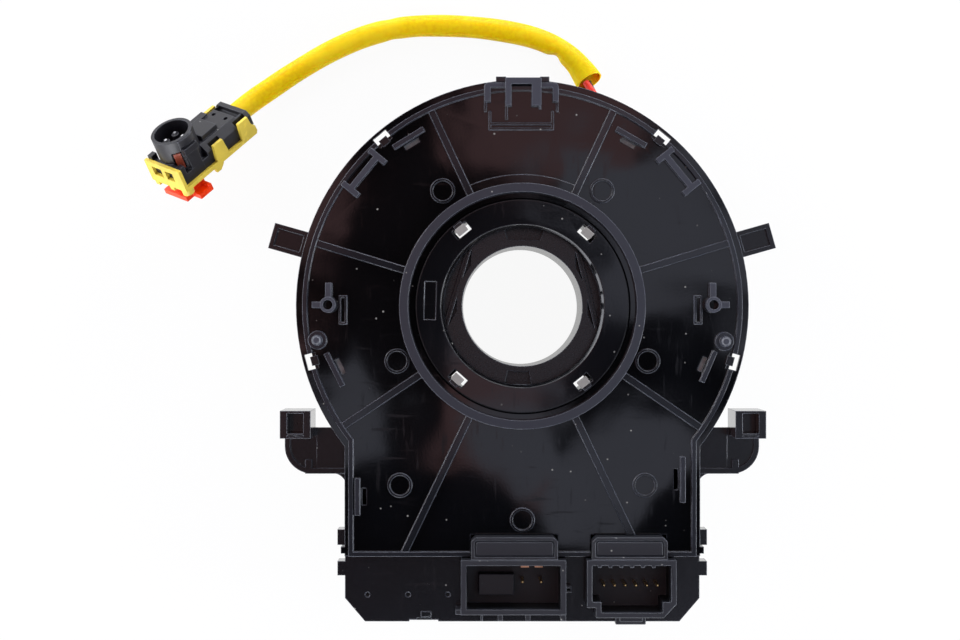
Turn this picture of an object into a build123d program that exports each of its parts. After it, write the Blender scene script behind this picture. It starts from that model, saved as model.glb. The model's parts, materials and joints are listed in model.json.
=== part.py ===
from build123d import *
import os
from math import atan2, cos, degrees, hypot, pi, radians, sin, sqrt, tan

# A steering clock spring: the rotary ribbon-cable connector between a steering wheel and its column.
# Millimetres. Z is the steering axis and points to the column, X and Y lie across it, and the
# sockets hang down on the -Y side. The origin is on the axis, on the surface it lies on, wheel
# side down. The fixed side is the case with its ribbed cover, and the turning side is the hub.

# Gaps shared by the pieces
run_gap = 0.4            # between a turning and a fixed moulding
slip_gap = 0.3           # between the ribbons and what they slide past
fit_gap = 0.15           # round what is set in a piece of its own body
cut_over = 1.0           # how far a cutter runs past the face that it opens
root_sink = 0.2          # how far a rib or boss is rooted in the wall that carries it

# The drum's radius, which the cover, the skirt and the plate on the wheel side follow
case_r = 51.6

# Steering hub: bore, sleeve and drum
column_bore_r = 14.4
sleeve_wall = 1.3
hub_turn = -1.5          # degrees the hub stands away from its centred place
drum_outer_r = 25.4
drum_wall = 1.3
drum_seat = 0.8          # how far the drum's seat stands out over the face plate
drum_seat_h = 0.3
neck_step = 0.8          # from the drum's outside in to the neck's
neck_wall = 1.5
neck_h = 2.2

# Turning face plate, on the wheel side
post_h = 15.2            # height of what stands on the wheel side of the face plate
face_t = 1.8
face_in = 4.8            # from the case's outside
face_r = case_r - face_in
face_step = 4.2          # from the plate's edge in to the thicker part that turns in the case's opening
rim_r = face_r - face_step

# Case
case_wall = 1.6
case_floor_t = 1.6
case_depth = 18.6
skirt_in = 9.2           # from the drum's side in to the skirt's
skirt_half_w = case_r - skirt_in
skirt_out = 23.8         # from the drum down to the skirt's end
skirt_end_y = -case_r - skirt_out
skirt_corner_x = 4.8
skirt_corner_y = 5.6
skirt_lift = 3.6         # how much higher the skirt's floor is than the drum's
skirt_top_t = 1.6
gate_half_w = 7.0        # opening that the ribbons leave the drum by

# Cover
cover_over = 2.4         # how far the cover stands out over the case
cover_r = case_r + cover_over
cover_drawn_r = 54.0     # the cover's radius that the places on it are given for
cover_t = 2.0
cover_out = 8.0          # from the drum down to where the cover stops and the sockets' strip begins
cover_end_y = -case_r - cover_out
cover_hole_gap = 1.4     # between the hub's ring and the cover's opening
ledge_t = 0.8            # the thin ledge that holds the hub back
lip_in = 1.6             # from the cover's edge
lip_r = cover_r - lip_in
lip_side_in = 1.0        # from the skirt's side
lip_half_w = skirt_half_w - lip_side_in
lip_w = 1.1
lip_h = 1.6
collar_w = 2.1
collar_h = 2.4
step_out = 2.1           # the low step outside the collar, between the two upper ribs
step_h = 0.5
rib_w = 1.6
rib_h = 1.3
upper_rib_angles = (65.0, 115.0, 17.0, 163.0, -34.3, 213.8)
lower_rib_angles = (-64.5, 244.4)
dimple_r = 2.9
dimple_wall = 0.55
dimple_h = 0.7
dimple_depth = 0.5
dimple_places = ((19.0, 27.5), (29.9, -13.1), (29.2, -42.7), (0.0, -51.0))

# Snap hooks between case and cover, seen through the cover's rim windows
rim_window_angles = (50.4, 129.9, 194.7, -14.8)
window_len = 3.8
window_edge = 0.75       # from the cover's edge
window_out_r = cover_r - window_edge
hook_in = 0.6            # from the case's outside
hook_inner_r = case_r - hook_in
hook_t = 1.0
hook_len = 2.2
hook_nose = 0.8          # how far a nose reaches over the edge that it holds
hook_nose_h = 1.2
hook_gap = 0.15

# Lipped snap slots of the cover: centre x, centre y, direction in degrees, length
slot_places = (
    (-27.1, 40.0, 31.5, 8.4),
    (25.9, 40.2, -29.7, 8.1),
    (-44.8, -15.1, -63.4, 8.7),
    (44.3, -14.4, 67.0, 7.9),
    (-39.3, -45.4, -90.0, 8.8),
    (38.2, -41.3, 90.0, 10.9),
)
slot_lip_w = 1.2
slot_lip_h = 1.9
slot_cut_w = 1.0
slot_cut_share = 0.45
slot_step = 0.5          # from the lip to the cut

# Raised features of the cover
i_rib_ends = (((-34.5, 35.6), (-40.9, 27.8)), ((33.9, 35.9), (40.2, 28.2)))
i_web_w = 1.4
i_bar_len = 4.8
i_bar_w = 1.3
i_rib_h = 3.0
cross_peg_places = ((-46.1, 0.3), (45.2, 0.3))
cross_peg_r = 1.85
cross_peg_wall = 0.7
cross_peg_h = 6.0
cross_fin_len = 3.9          # from the peg's middle
cross_fin_up_len = 5.2
cross_fin_w = 1.45
cross_fin_h = 3.6
cross_loop_in = 2.4          # from the peg's middle to its low loop
cross_loop_w = 1.9
cross_loop_y = (-4.6, 2.2)
cross_loop_line = 0.5
cross_loop_h = 1.3
round_peg_places = ((-48.8, -8.1), (48.1, -8.4))
round_peg_base_r = 2.2
round_peg_base_h = 1.8
round_peg_r = 1.2
round_peg_h = 6.0
round_peg_tip = 0.5

# Latch at the top of the cover
latch_legs = ((-9.05, -7.6), (7.2, 8.55))
latch_leg_y = (48.6, 53.05)
latch_bar_w = 1.15
latch_round_r = 1.0
latch_line_w = 0.5
latch_line_h = 0.5
latch_line_low = 46.3
latch_block_x = (-4.05, 4.45)
latch_block_y = (47.6, 54.2)
latch_hole_x = (-2.65, 2.2)
latch_hole_top = 52.7
latch_side_low = (44.4, 47.0)    # lower ends of the thin lines below the block
latch_h = 3.2
latch_block_h = 3.8
latch_frame_x = (-8.0, 7.45)
latch_frame_y = (42.0, 43.7)
latch_frame_top = 46.5
rim_bumps = ((-6.3, -3.9), (4.2, 6.4))
rim_bump_y = (53.3, 54.6)

# Side arms of the case
arm_angles = (15.8, 164.2)
arm_w = 6.3
arm_len = 11.0
arm_end_r = case_r + arm_len
arm_drop = 3.4           # top of the arm below the top of the case
arm_t = 5.2
arm_rim = 1.1
arm_recess = 1.6

# Brackets and clip towers of the case
bracket_up = 0.2         # above the corner where the skirt leaves the drum
bracket_top_y = -sqrt(case_r ** 2 - skirt_half_w ** 2) + bracket_up
bracket_out = 14.7
bracket_end_x = skirt_half_w + bracket_out
bracket_h = 11.1
bracket_low_y = bracket_top_y - bracket_h
bracket_round_r = 6.6
bracket_drop = 5.4
bracket_t = 2.2
bracket_rim_w = 1.3
bracket_rim_h = 1.4
bracket_rib_out = 8.2    # from the skirt's side
bracket_rib_w = 1.6
bracket_rib_len = 3.4
bracket_step_out = 7.1
bracket_step_h = 0.5
bracket_web_r = 3.2
tower_out = 11.1         # from the skirt's side to the tower's middle
tower_x = skirt_half_w + tower_out
tower_up = 1.3           # from the bracket's upper edge
tower_y = bracket_top_y + tower_up
tower_len = 7.2
tower_depth = 6.5
tower_h = 17.0           # above the bracket
tower_rail = 1.7
tower_low_wall = 1.2
tower_top_wall = 0.6
tower_pocket_depth = 9.0
tower_groove_in = 0.45
tower_groove_w = 0.35
tower_groove_depth = 0.6

# Tabs and hook on the sides of the skirt
tab_out = 1.8
tab_upper_up = (2.5, 6.2)      # ends above where the cover stops
tab_lower_up = (-4.8, -1.4)
tab_h = 8.0
side_hook_up = (0.6, 2.2)
side_hook_out = 0.9

# Small marks on the strip below the cover, and the notched window of its bottom edge
strip_mark_x = (-37.0, -27.3, -17.8)
strip_mark_up = 6.4            # above the skirt's end
strip_mark_r = 0.6
strip_mark_depth = 0.3
edge_notches = (((-27.0, -25.2), 0.45), ((-25.2, -21.8), 0.8), ((-21.8, -20.1), 0.45))
edge_notch_h = 3.0
edge_nose_x = (-24.2, -21.8)
edge_nose_up = (1.2, 2.4)
edge_nose_h = 0.7

# Sockets at the bottom edge
socket_rise = 8.0        # above the cover's plate
airbag_x = (-14.6, 10.2)
socket_below = 0.3       # from where the cover stops
airbag_deep = 12.9
airbag_y = (cover_end_y - socket_below - airbag_deep, cover_end_y - socket_below)
switch_x = (15.1, 36.2)
switch_deep = 13.6
switch_y = (cover_end_y - socket_below - switch_deep, cover_end_y - socket_below)
socket_wall = 1.3
socket_depth = 15.0
airbag_hood_x = (-12.2, 8.3)
switch_hood_x = (16.4, 34.2)
hood_len = 5.0
hood_end_y = cover_end_y + hood_len
hood_drop = 1.4
hood_t = 1.8
hood_bevel = 1.0
hood_groove_in = 0.8
hood_groove_w = 0.35
hood_groove_depth = 0.35
pin_w = 0.64
pin_h = 11.0
pin_taper = 25.0         # degrees
airbag_pin_x = (0.0, 4.4)
airbag_pin_in = 5.5      # from the socket's upper side
airbag_pin_y = airbag_y[1] - airbag_pin_in
blade_x = (0.6, 3.9)
blade_w = 1.9
blade_t = 0.4
blade_h = 8.0
blade_in = 2.3
blade_y = airbag_y[1] - blade_in
key_x = (-10.4, -2.0)
key_in = (9.1, 4.1)
key_y = (airbag_y[1] - key_in[0], airbag_y[1] - key_in[1])
key_h = 6.0
airbag_ribs = ((-10.0, -9.4), (-5.9, -4.7), (0.6, 1.8), (8.9, 10.2))
airbag_rib_out = 1.5
airbag_rib_drop = 1.0
airbag_foot_x = (-15.9, -14.4)
airbag_foot_len = 1.2
airbag_foot_y = (airbag_y[0], airbag_y[0] + airbag_foot_len)
stub_x = (10.1, 11.6)
stub_up = 4.9            # from the socket's lower side
stub_len = 1.4
stub_y = (airbag_y[0] + stub_up, airbag_y[0] + stub_up + stub_len)
stub_wall = 0.4
stub_h = 6.0
switch_pins = 6
pin_pitch = 2.54
switch_pin_first_x = 19.3
switch_pin_in = 6.3
switch_pin_y = switch_y[1] - switch_pin_in
switch_bevel_x = 3.0
switch_bevel_y = 3.2
switch_notch_x = 2.1
switch_notch_y = 2.4
room_step_x = 2.0
room_step_y = 2.5
tooth_first_x = 18.1
tooth_w = 0.9
tooth_out = 0.5
tooth_h = 6.0
lug_x = (22.1, 29.3)
lug_out = 2.2
lug_h = 4.0
lug_high = 6.5
lug_step = 0.9

# Flat cables and what holds their ends
ribbon_t = 0.3
ribbon_pair_step = 0.9
ribbon_start = 1.4       # from the drum to the first turn
ribbon_inner_r = drum_outer_r + ribbon_start
ribbon_turns = 5
ribbon_spare = 1.7       # left outside the last turn
ribbon_pitch = (case_r - case_wall - ribbon_inner_r - ribbon_spare) / ribbon_turns
film_t = 0.3
joint_block_half_w = 6.0
joint_block_out = 6.0
joint_block_h = 12.0
hub_block_half_w = 4.0
hub_block_t = 2.6
hub_block_h = 10.0

# Recessed floor of the hub, seen inside the ring
hub_floor_drop = 2.2     # below the ring's seat
hub_floor_t = 6.0
hub_floor_r = 21.0
hub_web_t = 1.6
crescent_r = 19.5
crescent_span = (-18.5, 49.5)
crescent_step = 1.2      # depth of the first step, with the second one set in
crescent_inset = 0.7
crescent_depth = 2.6
crescent_web = 0.6         # between the crescent and the pocket beside the bore
pocket_inset = 1.3
pocket_wall = 0.5
pocket_span = (-1.0, 32.0)
pocket_depth = 4.0
pocket_rib_angle = 16.5
pocket_rib_len = 1.5
pocket_rib_w = 0.8
notch_top_y = (15.85, 19.1)
notch_top_half_w = (3.85, 5.0)
notch_depth = 2.4
notch_low_x = -0.5
notch_low_y = (-15.5, -18.7)
notch_low_half_w = (2.55, 3.2)

# Ring snapped on the hub
ring_over = 0.8          # how far the ring reaches over the cover's ledge
ring_inner_r = 18.8
ring_t = 1.6
ring_inner_bevel = 0.7
ring_outer_bevel = 0.45
ring_mark_x = (-23.4, -20.6)
ring_mark_y = (-3.8, 5.3)
ring_mark_depth = 0.12
ring_window_angles = (49.8, 130.2, 229.8, 310.2)
ring_window_len = 4.1
ring_window_edge = 1.5   # from the ring's outside
ring_window_w = 2.4
ring_hook_inset = 1.1    # from the window's inner edge to the hook
ring_hook_t = 1.2
ring_hook_len = 2.2
ring_hook_slot_len = 5.0

# Drive posts and ribs on the wheel side
post_place_r = 34.0
post_angles = (20.0, 160.0)
post_r = 3.4
post_hole_r = 1.6
post_tip = 0.8
hub_rib_w = 1.2
hub_ribs = 8
collar_r = 17.4

# Socket tower for the steering wheel's harness
tower_socket_x = (-13.0, 13.0)
tower_socket_y = (-38.5, -27.5)
tower_socket_wall = 1.3
tower_socket_depth = 11.5
wheel_pin_rows = 2
wheel_pin_columns = 8
wheel_pin_pitch = 2.54
wheel_pin_h = 6.5
tower_key_w = 4.0
tower_key_t = 1.2

# Hood that the lead leaves, and the lead
hood_angle = 60.0
hood_r0 = 31.0
hood_r1 = 44.0
hood_half_w = 5.0
hood_wall = 1.2
wire_r = 0.85
arc_share = 0.45         # of the shorter run, taken up by each arc of a cord
sleeve_r = 2.5
wire_a_points = (
    (22.93, 37.62, 2.6), (24.8, 42.0, 2.9), (24.0, 46.9, 3.3), (21.0, 51.6, 3.5), (17.5, 56.1, 3.45),
)
wire_b_points = (
    (21.13, 38.63, 2.6), (22.9, 42.6, 2.2), (22.6, 47.0, 1.8), (20.6, 51.5, 1.75), (17.9, 56.4, 1.75),
)
sleeve_points = (
    (17.7, 56.3, 2.6), (14.8, 60.9, 2.6), (10.7, 64.7, 2.6), (4.6, 67.7, 2.6), (-5.0, 69.8, 2.6),
    (-16.0, 70.9, 2.6), (-28.0, 70.8, 2.7), (-37.6, 68.9, 2.8), (-46.8, 65.0, 2.9),
    (-55.6, 59.9, 2.8), (-62.4, 55.3, 2.8),
    (-67.66, 51.58, 4.16), (-71.1, 48.31, 6.56),
)

# Airbag plug at the lead's end, drawn lying level with its cable end at the origin,
# its long side along -X and the mouth of its round socket up. Pairs named _x run from its front
plug_heading = 43.5      # degrees, the cable's direction seen from above
plug_dip = 26.4          # degrees, how far the cable end points down
plug_roll = 46.4         # degrees, how far the plug lies over on its side
plug_len = 24.7
plug_half_w = 5.8
plug_entry_h = 2.6       # the cable's height above the plug's base
tray_h = 2.6
tray_wall = 1.1
tray_floor = 1.2
front_wall_h = 5.0
corner_len = 1.8
corner_w = 1.5
corner_h = (5.1, 6.2)    # right and left corner of the tray's front
rear_block_x = (9.3, 23.4)
rear_section = ((5.8, 0), (5.8, 3.4), (3.9, 5.4))    # half width and height, from below
rear_top = 5.4
pad_x = (10.9, 16.2)
pad_half_w = 3.4
pad_h = 1.3
wing_x = (13.6, 18.9)
wing_w = 2.2
wing_h = 5.9
top_hole_x = 19.9
top_hole_y = 2.3
top_hole_r = 0.6
top_hole_depth = 1.5
channel_x = (21.4, 23.4)
channel_half_w = 4.2
channel_depth = 1.4
hook_pockets = ((10.9, 14.4), (19.8, 23.4))
hook_pocket_w = 1.3
hook_pocket_z = 2.6
flange_t = 1.3
flange_section = ((4.6, 0), (5.9, 1.2), (5.9, 4.2), (4.9, 5.2))
cup_inset = 5.7          # from the plug's front to the round socket's middle
cup_r = 5.3
cup_wall = 0.85
cup_h = 11.3
cup_floor_h = 5.4
cup_band_out = 0.4
cup_band_span = (-116.0, -66.0)
cup_band_h = 1.9
cup_band_drop = 0.2
pillar_angle = -92.0
pillar_w = 3.4
pillar_out = 0.5
pillar_h = 7.1
pillar_cap_w = 4.3
pillar_cap_out = 0.9
pillar_cap_h = 1.6
clip_angle = -131.0
clip_t = 0.7
clip_w = 1.8
clip_low = 3.4
clip_h = 4.3
clip_gap = 0.4
insert_post_r = 1.0
insert_post_h = 2.6
insert_post_ring_r = 2.2
insert_post_angles = (45.0, 135.0, 225.0, 315.0)
insert_base_h = 0.9
insert_clear = 0.1
contact_w = 0.7
contact_stand = 0.4

# Yellow lock frame round the plug's base. The outlines of its side pieces are places from the
# plug's front and heights
frame_t = 0.9
frame_base_t = 1.1
frame_end = 0.6          # short of the cable end
frame_hooks = (
    ((10.4, -0.5), (11.1, 4.4), (14.2, 4.4), (14.75, -0.5)),
    ((19.4, -0.5), (20.0, 4.6), (23.2, 4.6), (23.7, -0.5)),
)
frame_lug = ((9.0, -1.0), (9.3, -2.5), (10.7, -2.5), (11.9, -1.5), (12.2, -1.0))
frame_lobe = ((23.0, -1.0), (24.1, -1.0), (24.5, -0.4), (24.4, 1.2), (23.9, 1.8), (23.0, 1.8))
comb_h = 5.2
comb_rail = 1.4
comb_sill = 1.2
comb_windows = ((-3.5, -0.5), (0.9, 4.5))
comb_feet = (-0.7, 5.0)
comb_foot_w = 1.5
comb_foot_t = 1.6
comb_foot_drop = 1.0
knob_y = -4.9
knob_r = 1.5
knob_len = 1.6

# Orange locking tab, standing out at rest
lock_stand = 3.4         # how far the tab stands off the frame before it is pushed in
lock_gap = 0.35
lock_plate_t = 1.4
lock_plate_x = (0.3, 6.9)
lock_plate_half_w = 5.8
lock_rim_x = (5.9, 6.9)
lock_rim_h = 0.6
lock_stem_x = (2.6, 7.1)
lock_stem_half_w = 3.0
lock_stem_in = 0.8       # how deep the stem stands in the plug at rest
knob_gap = 0.5           # between the knob and the tab's notch

# Radii that follow
neck_outer_r = drum_outer_r - neck_step
ledge_r = neck_outer_r + run_gap
ring_outer_r = ledge_r + ring_over
cover_hole_r = ring_outer_r + cover_hole_gap
chamber_r = case_r - case_wall
ring_window_out_r = ring_outer_r - ring_window_edge
ring_window_in_r = ring_window_out_r - ring_window_w
ring_hook_in_r = ring_window_in_r + ring_hook_inset
cup_x = cup_inset - plug_len

# Heights that follow
face_z = post_h
face_top_z = face_z + face_t
case_z = face_top_z + run_gap
case_floor_z = case_z + case_floor_t
case_top_z = case_z + case_depth
cover_z = case_top_z
plate_z = cover_z + cover_t
skirt_z = case_z + skirt_lift
skirt_floor_z = skirt_z + case_floor_t
ring_z = cover_z + ledge_t + run_gap
ring_top_z = ring_z + ring_t
neck_z = ring_z - neck_h
hub_floor_z = ring_z - hub_floor_drop
socket_top_z = plate_z + socket_rise

LOW = (Align.CENTER, Align.CENTER, Align.MIN)


def slab(outline, bottom, top):
    """A flat outline stood up between two heights."""
    return Pos(0, 0, bottom) * extrude(outline, top - bottom)


def ring_wall(outer, inner, bottom, top):
    """A round wall about the steering axis."""
    return slab(Circle(outer) - Circle(inner), bottom, top)


def block(x_range, y_range, bottom, top):
    """A block between two sides, two ends and two heights."""
    x0, x1 = x_range
    y0, y1 = y_range
    return Pos((x0 + x1) / 2, (y0 + y1) / 2, bottom) * Box(x1 - x0, y1 - y0, top - bottom, align=LOW)


def patch(x_range, y_range):
    """A flat rectangle between two sides and two ends."""
    x0, x1 = x_range
    y0, y1 = y_range
    return Pos((x0 + x1) / 2, (y0 + y1) / 2) * Rectangle(x1 - x0, y1 - y0)


def radial(inner, outer, width, angle):
    """A flat bar that points away from the steering axis."""
    bar = Pos((inner + outer) / 2, 0) * Rectangle(outer - inner, width)
    return Rot(0, 0, angle) * bar


def shifted(ends, start):
    """Both ends of a range moved on from a place."""
    return start + ends[0], start + ends[1]


def on_cover(x, y):
    """A place on the cover, which moves out as the cover grows."""
    return x * cover_r / cover_drawn_r, y * cover_r / cover_drawn_r


def mirrored(points):
    """Places given on the right, with their mirror images on the left."""
    return [(side * x, y) for x, y in points for side in (1, -1) if x or side > 0]


def notched(points):
    """A flat outline through given corners."""
    return make_face(Polyline(*points, close=True))


def skirt_outline(inset=0.0):
    """The case's straight-sided lower part, from the drum's middle down to the bottom edge."""
    half = skirt_half_w - inset
    low = skirt_end_y + inset
    start = -sqrt(case_r ** 2 - skirt_half_w ** 2) + case_wall
    points = [
        (-half, start), (-half, low + skirt_corner_y), (-half + skirt_corner_x, low),
        (half - skirt_corner_x, low), (half, low + skirt_corner_y), (half, start),
    ]
    return make_face(Polyline(*points, close=True))


def bracket_outline():
    """The right bracket seen from above."""
    left = skirt_half_w - case_wall / 2
    shape = patch((left, bracket_end_x), (bracket_low_y, bracket_top_y))
    corner = shape.vertices().sort_by(Axis.X)[-2:].sort_by(Axis.Y)[0]
    return fillet(corner, bracket_round_r)


def bracket():
    """A flat ear beside the skirt with a rounded corner, a raised rim and a hollow clip post."""
    top = case_top_z - bracket_drop
    outline = bracket_outline()
    plate = slab(outline, top - bracket_t, top)
    inner = offset(outline, -bracket_rim_w, kind=Kind.INTERSECTION)
    inner += patch((0, bracket_end_x - bracket_round_r), (bracket_low_y + bracket_rim_w, bracket_top_y))
    rim = slab(outline - inner, top, top + bracket_rim_h)
    rib_x = skirt_half_w + bracket_rib_out
    rim += block((rib_x, rib_x + bracket_rib_w), (bracket_low_y, bracket_low_y + bracket_rib_len),
                 top - root_sink, top + bracket_rim_h)
    step_x = (skirt_half_w - case_wall / 2, skirt_half_w + bracket_step_out)
    step = block(step_x, (bracket_low_y, bracket_top_y), top - root_sink, top + bracket_step_h)
    corner = (skirt_half_w + bracket_web_r, bracket_low_y - bracket_web_r)
    web = patch((skirt_half_w - root_sink, corner[0]), (corner[1], bracket_low_y + root_sink))
    web = slab(web - Pos(*corner) * Circle(bracket_web_r), top - bracket_t, top)
    tower_x_range = (tower_x - tower_len / 2, tower_x + tower_len / 2)
    tower_y_range = (tower_y - tower_depth / 2, tower_y + tower_depth / 2)
    tower = block(tower_x_range, tower_y_range, top - bracket_t, top + tower_h)
    pocket_x = (tower_x_range[0] + tower_rail, tower_x_range[1] - tower_rail)
    pocket = block(
        pocket_x, (tower_y_range[0] + tower_low_wall, tower_y_range[1] - tower_top_wall),
        top + tower_h - tower_pocket_depth, top + tower_h + cut_over,
    )
    groove_y = tower_y_range[0] + tower_groove_in
    groove = block(pocket_x, (groove_y, groove_y + tower_groove_w),
                   top + tower_h - tower_groove_depth, top + tower_h + cut_over)
    return plate + rim + step + web + tower - pocket - groove


def arm(angle):
    """A radial arm with a recess that its raised rim runs round."""
    top = case_top_z - arm_drop
    body = slab(radial(chamber_r + root_sink, arm_end_r, arm_w, angle), top - arm_t, top)
    recess = slab(radial(cover_r + arm_rim, arm_end_r - arm_rim, arm_w - 2 * arm_rim, angle),
                  top - arm_recess, top + cut_over)
    return body - recess


def side_tab(y_range):
    """A square tab on the right side of the skirt."""
    x_range = (skirt_half_w - case_wall / 2, skirt_half_w + tab_out)
    return block(x_range, y_range, case_top_z - tab_h, case_top_z)


def rim_hook(angle):
    """A snap arm on the drum, with its nose over the cover's window edge."""
    arm_top = plate_z + hook_gap + hook_nose_h
    shaft = slab(radial(hook_inner_r, hook_inner_r + hook_t, hook_len, angle), case_floor_z, arm_top)
    nose = radial(hook_inner_r - hook_nose, hook_inner_r + hook_t, hook_len, angle)
    nose = slab(nose, plate_z + hook_gap, arm_top)
    return shaft + nose


def socket_hole(x_range, y_range):
    """The opening that a socket shell stands in."""
    return block(x_range, y_range, skirt_floor_z, case_top_z + cut_over)


def make_front_case():
    drum = ring_wall(case_r, chamber_r, case_z, case_top_z)
    floor = ring_wall(case_r, rim_r + run_gap, case_z, case_floor_z)
    skirt = slab(skirt_outline(), skirt_z, case_top_z)
    room = slab(skirt_outline(case_wall), skirt_floor_z, case_top_z - skirt_top_t)
    room += slab(
        skirt_outline(case_wall) & patch((-skirt_half_w, skirt_half_w), (cover_end_y, 0)),
        case_top_z - skirt_top_t, case_top_z + cut_over,
    )
    skirt = skirt - room - slab(Circle(chamber_r), skirt_z - cut_over, case_top_z + cut_over)
    case = drum + floor + skirt
    gate = block((-gate_half_w, gate_half_w), (-case_r - cut_over, -chamber_r + case_wall),
                 skirt_floor_z, case_top_z + cut_over)
    case -= gate
    case -= socket_hole(airbag_x, airbag_y)
    case -= slab(switch_outline(), skirt_floor_z, case_top_z + cut_over)
    for x in strip_mark_x:
        place = Pos(x, skirt_end_y + strip_mark_up, case_top_z - strip_mark_depth)
        case -= place * Cylinder(strip_mark_r, cut_over, align=LOW)
    for x_range, depth in edge_notches:
        case -= block(x_range, (skirt_end_y - cut_over, skirt_end_y + depth), case_top_z - edge_notch_h,
                      case_top_z + cut_over)
    nose_y = shifted(edge_nose_up, skirt_end_y)
    case += block(edge_nose_x, nose_y, case_top_z - root_sink, case_top_z + edge_nose_h)
    for angle in arm_angles:
        case += arm(angle)
    for angle in rim_window_angles:
        case += rim_hook(angle)
    ear = bracket()
    case += ear + mirror(ear, Plane.YZ)
    for ends in (tab_upper_up, tab_lower_up):
        tab = side_tab(shifted(ends, cover_end_y))
        case += tab + mirror(tab, Plane.YZ)
    return case


def cover_outline():
    return Circle(cover_r) + patch((-skirt_half_w, skirt_half_w), (cover_end_y, 0))


def lip_outline():
    return Circle(lip_r) + patch((-lip_half_w, lip_half_w), (cover_end_y, 0))


def snap_slot(place):
    """A raised lip and the cut beside it, as (lip, cut)."""
    x, y, direction, length = place
    x, y = on_cover(x, y)
    inward = degrees(atan2(-y, -x)) - direction
    side = 1 if sin(radians(inward)) > 0 else -1
    frame = Pos(x, y) * Rot(0, 0, direction)
    lip = slab(frame * Rectangle(length, slot_lip_w), plate_z - root_sink, plate_z + slot_lip_h)
    step = side * (slot_lip_w / 2 + slot_step + slot_cut_w / 2)
    cut = slab(frame * Pos(0, step) * Rectangle(length * slot_cut_share, slot_cut_w),
               cover_z - cut_over, plate_z + cut_over)
    return lip, cut


def i_rib(ends):
    """A short web between two cross bars."""
    (x0, y0), (x1, y1) = (on_cover(*end) for end in ends)
    direction = degrees(atan2(y1 - y0, x1 - x0))
    length = hypot(x1 - x0, y1 - y0)
    frame = Pos((x0 + x1) / 2, (y0 + y1) / 2) * Rot(0, 0, direction)
    flat = Rectangle(length, i_web_w)
    for side in (1, -1):
        flat += Pos(side * length / 2, 0) * Rectangle(i_bar_w, i_bar_len)
    return slab(frame * flat, plate_z - root_sink, plate_z + i_rib_h)


def cross_peg(place):
    """A hollow round peg with one fin outwards, one fin up and a low loop on its inner side."""
    x, y = on_cover(*place)
    out = 1 if x > 0 else -1
    base = plate_z - root_sink
    ring = Circle(cross_peg_r) - Circle(cross_peg_r - cross_peg_wall)
    peg = slab(Pos(x, y) * ring, base, plate_z + cross_peg_h)
    start = cross_peg_r - cross_peg_wall / 2
    across = (-cross_fin_w / 2, cross_fin_w / 2)
    fin_out = block(sorted((x + out * start, x + out * cross_fin_len)), (y + across[0], y + across[1]),
                    base, plate_z + cross_fin_h)
    fin_up = block((x + across[0], x + across[1]), (y + start, y + cross_fin_up_len),
                   base, plate_z + cross_fin_h)
    loop_x = sorted((x - out * cross_loop_in, x - out * (cross_loop_in + cross_loop_w)))
    loop = patch(loop_x, (y + cross_loop_y[0], y + cross_loop_y[1]))
    loop -= offset(loop, -cross_loop_line, kind=Kind.INTERSECTION)
    return peg + fin_out + fin_up + slab(loop, base, plate_z + cross_loop_h)


def round_peg(place):
    """A thin pin with a bevelled tip on a broad base."""
    x, y = on_cover(*place)
    base = plate_z - root_sink
    foot = Pos(x, y, base) * Cylinder(round_peg_base_r, round_peg_base_h + root_sink, align=LOW)
    pin_shape = Cylinder(round_peg_r, round_peg_h + root_sink, align=LOW)
    pin_shape = chamfer(pin_shape.edges().group_by(Axis.Z)[-1], round_peg_tip)
    return foot + Pos(x, y, base) * pin_shape


def dimple_ring(place):
    x, y = on_cover(*place)
    ring = Circle(dimple_r) - Circle(dimple_r - dimple_wall)
    return slab(Pos(x, y) * ring, plate_z - root_sink, plate_z + dimple_h)


def dimple_cut(place):
    x, y = on_cover(*place)
    return slab(Pos(x, y) * Circle(dimple_r - dimple_wall), plate_z - dimple_depth, plate_z + cut_over)


def latch():
    """The arch at the cover's top edge, its middle block and the thin frame below it."""
    base = plate_z - root_sink
    left, right = latch_legs
    arch = patch((left[0], right[1]), latch_leg_y)
    arch = fillet(arch.vertices().group_by(Axis.Y)[-1], latch_round_r)
    arch -= patch((left[1], right[0]), (latch_leg_y[0] - cut_over, latch_leg_y[1] - latch_bar_w))
    shape = slab(arch, base, plate_z + latch_h)
    shape += block(latch_block_x, latch_block_y, base, plate_z + latch_block_h)
    shape -= block(latch_hole_x, (latch_block_y[0] - cut_over, latch_hole_top), base - cut_over,
                   plate_z + latch_block_h + cut_over)
    low = plate_z + latch_line_h
    line = latch_line_w
    for x_range in ((left[0], left[0] + line), (right[1] - line, right[1])):
        shape += block(x_range, (latch_line_low, latch_leg_y[0] + root_sink), base, low)
    sides = ((latch_block_x[0], latch_block_x[0] + line), (latch_block_x[1] - line, latch_block_x[1]))
    for x_range, end in zip(sides, latch_side_low):
        shape += block(x_range, (end, latch_block_y[0] + root_sink), base, low)
    outer = patch(latch_frame_x, latch_frame_y)
    shape += slab(outer - offset(outer, -line, kind=Kind.INTERSECTION), base, low)
    for x_range in ((latch_frame_x[0], latch_frame_x[0] + line), (latch_frame_x[1] - line, latch_frame_x[1])):
        shape += block(x_range, (latch_frame_y[1] - root_sink, latch_frame_top), base, low)
    for x_range in rim_bumps:
        shape += block(x_range, rim_bump_y, cover_z, plate_z + lip_h)
    return Pos(0, cover_r - cover_drawn_r) * shape


def side_hook():
    """A hook at the cover's lower right corner that hangs down beside the skirt."""
    y_range = shifted(side_hook_up, cover_end_y)
    return block((skirt_half_w, skirt_half_w + side_hook_out), y_range, case_top_z - tab_h, plate_z)


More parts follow.
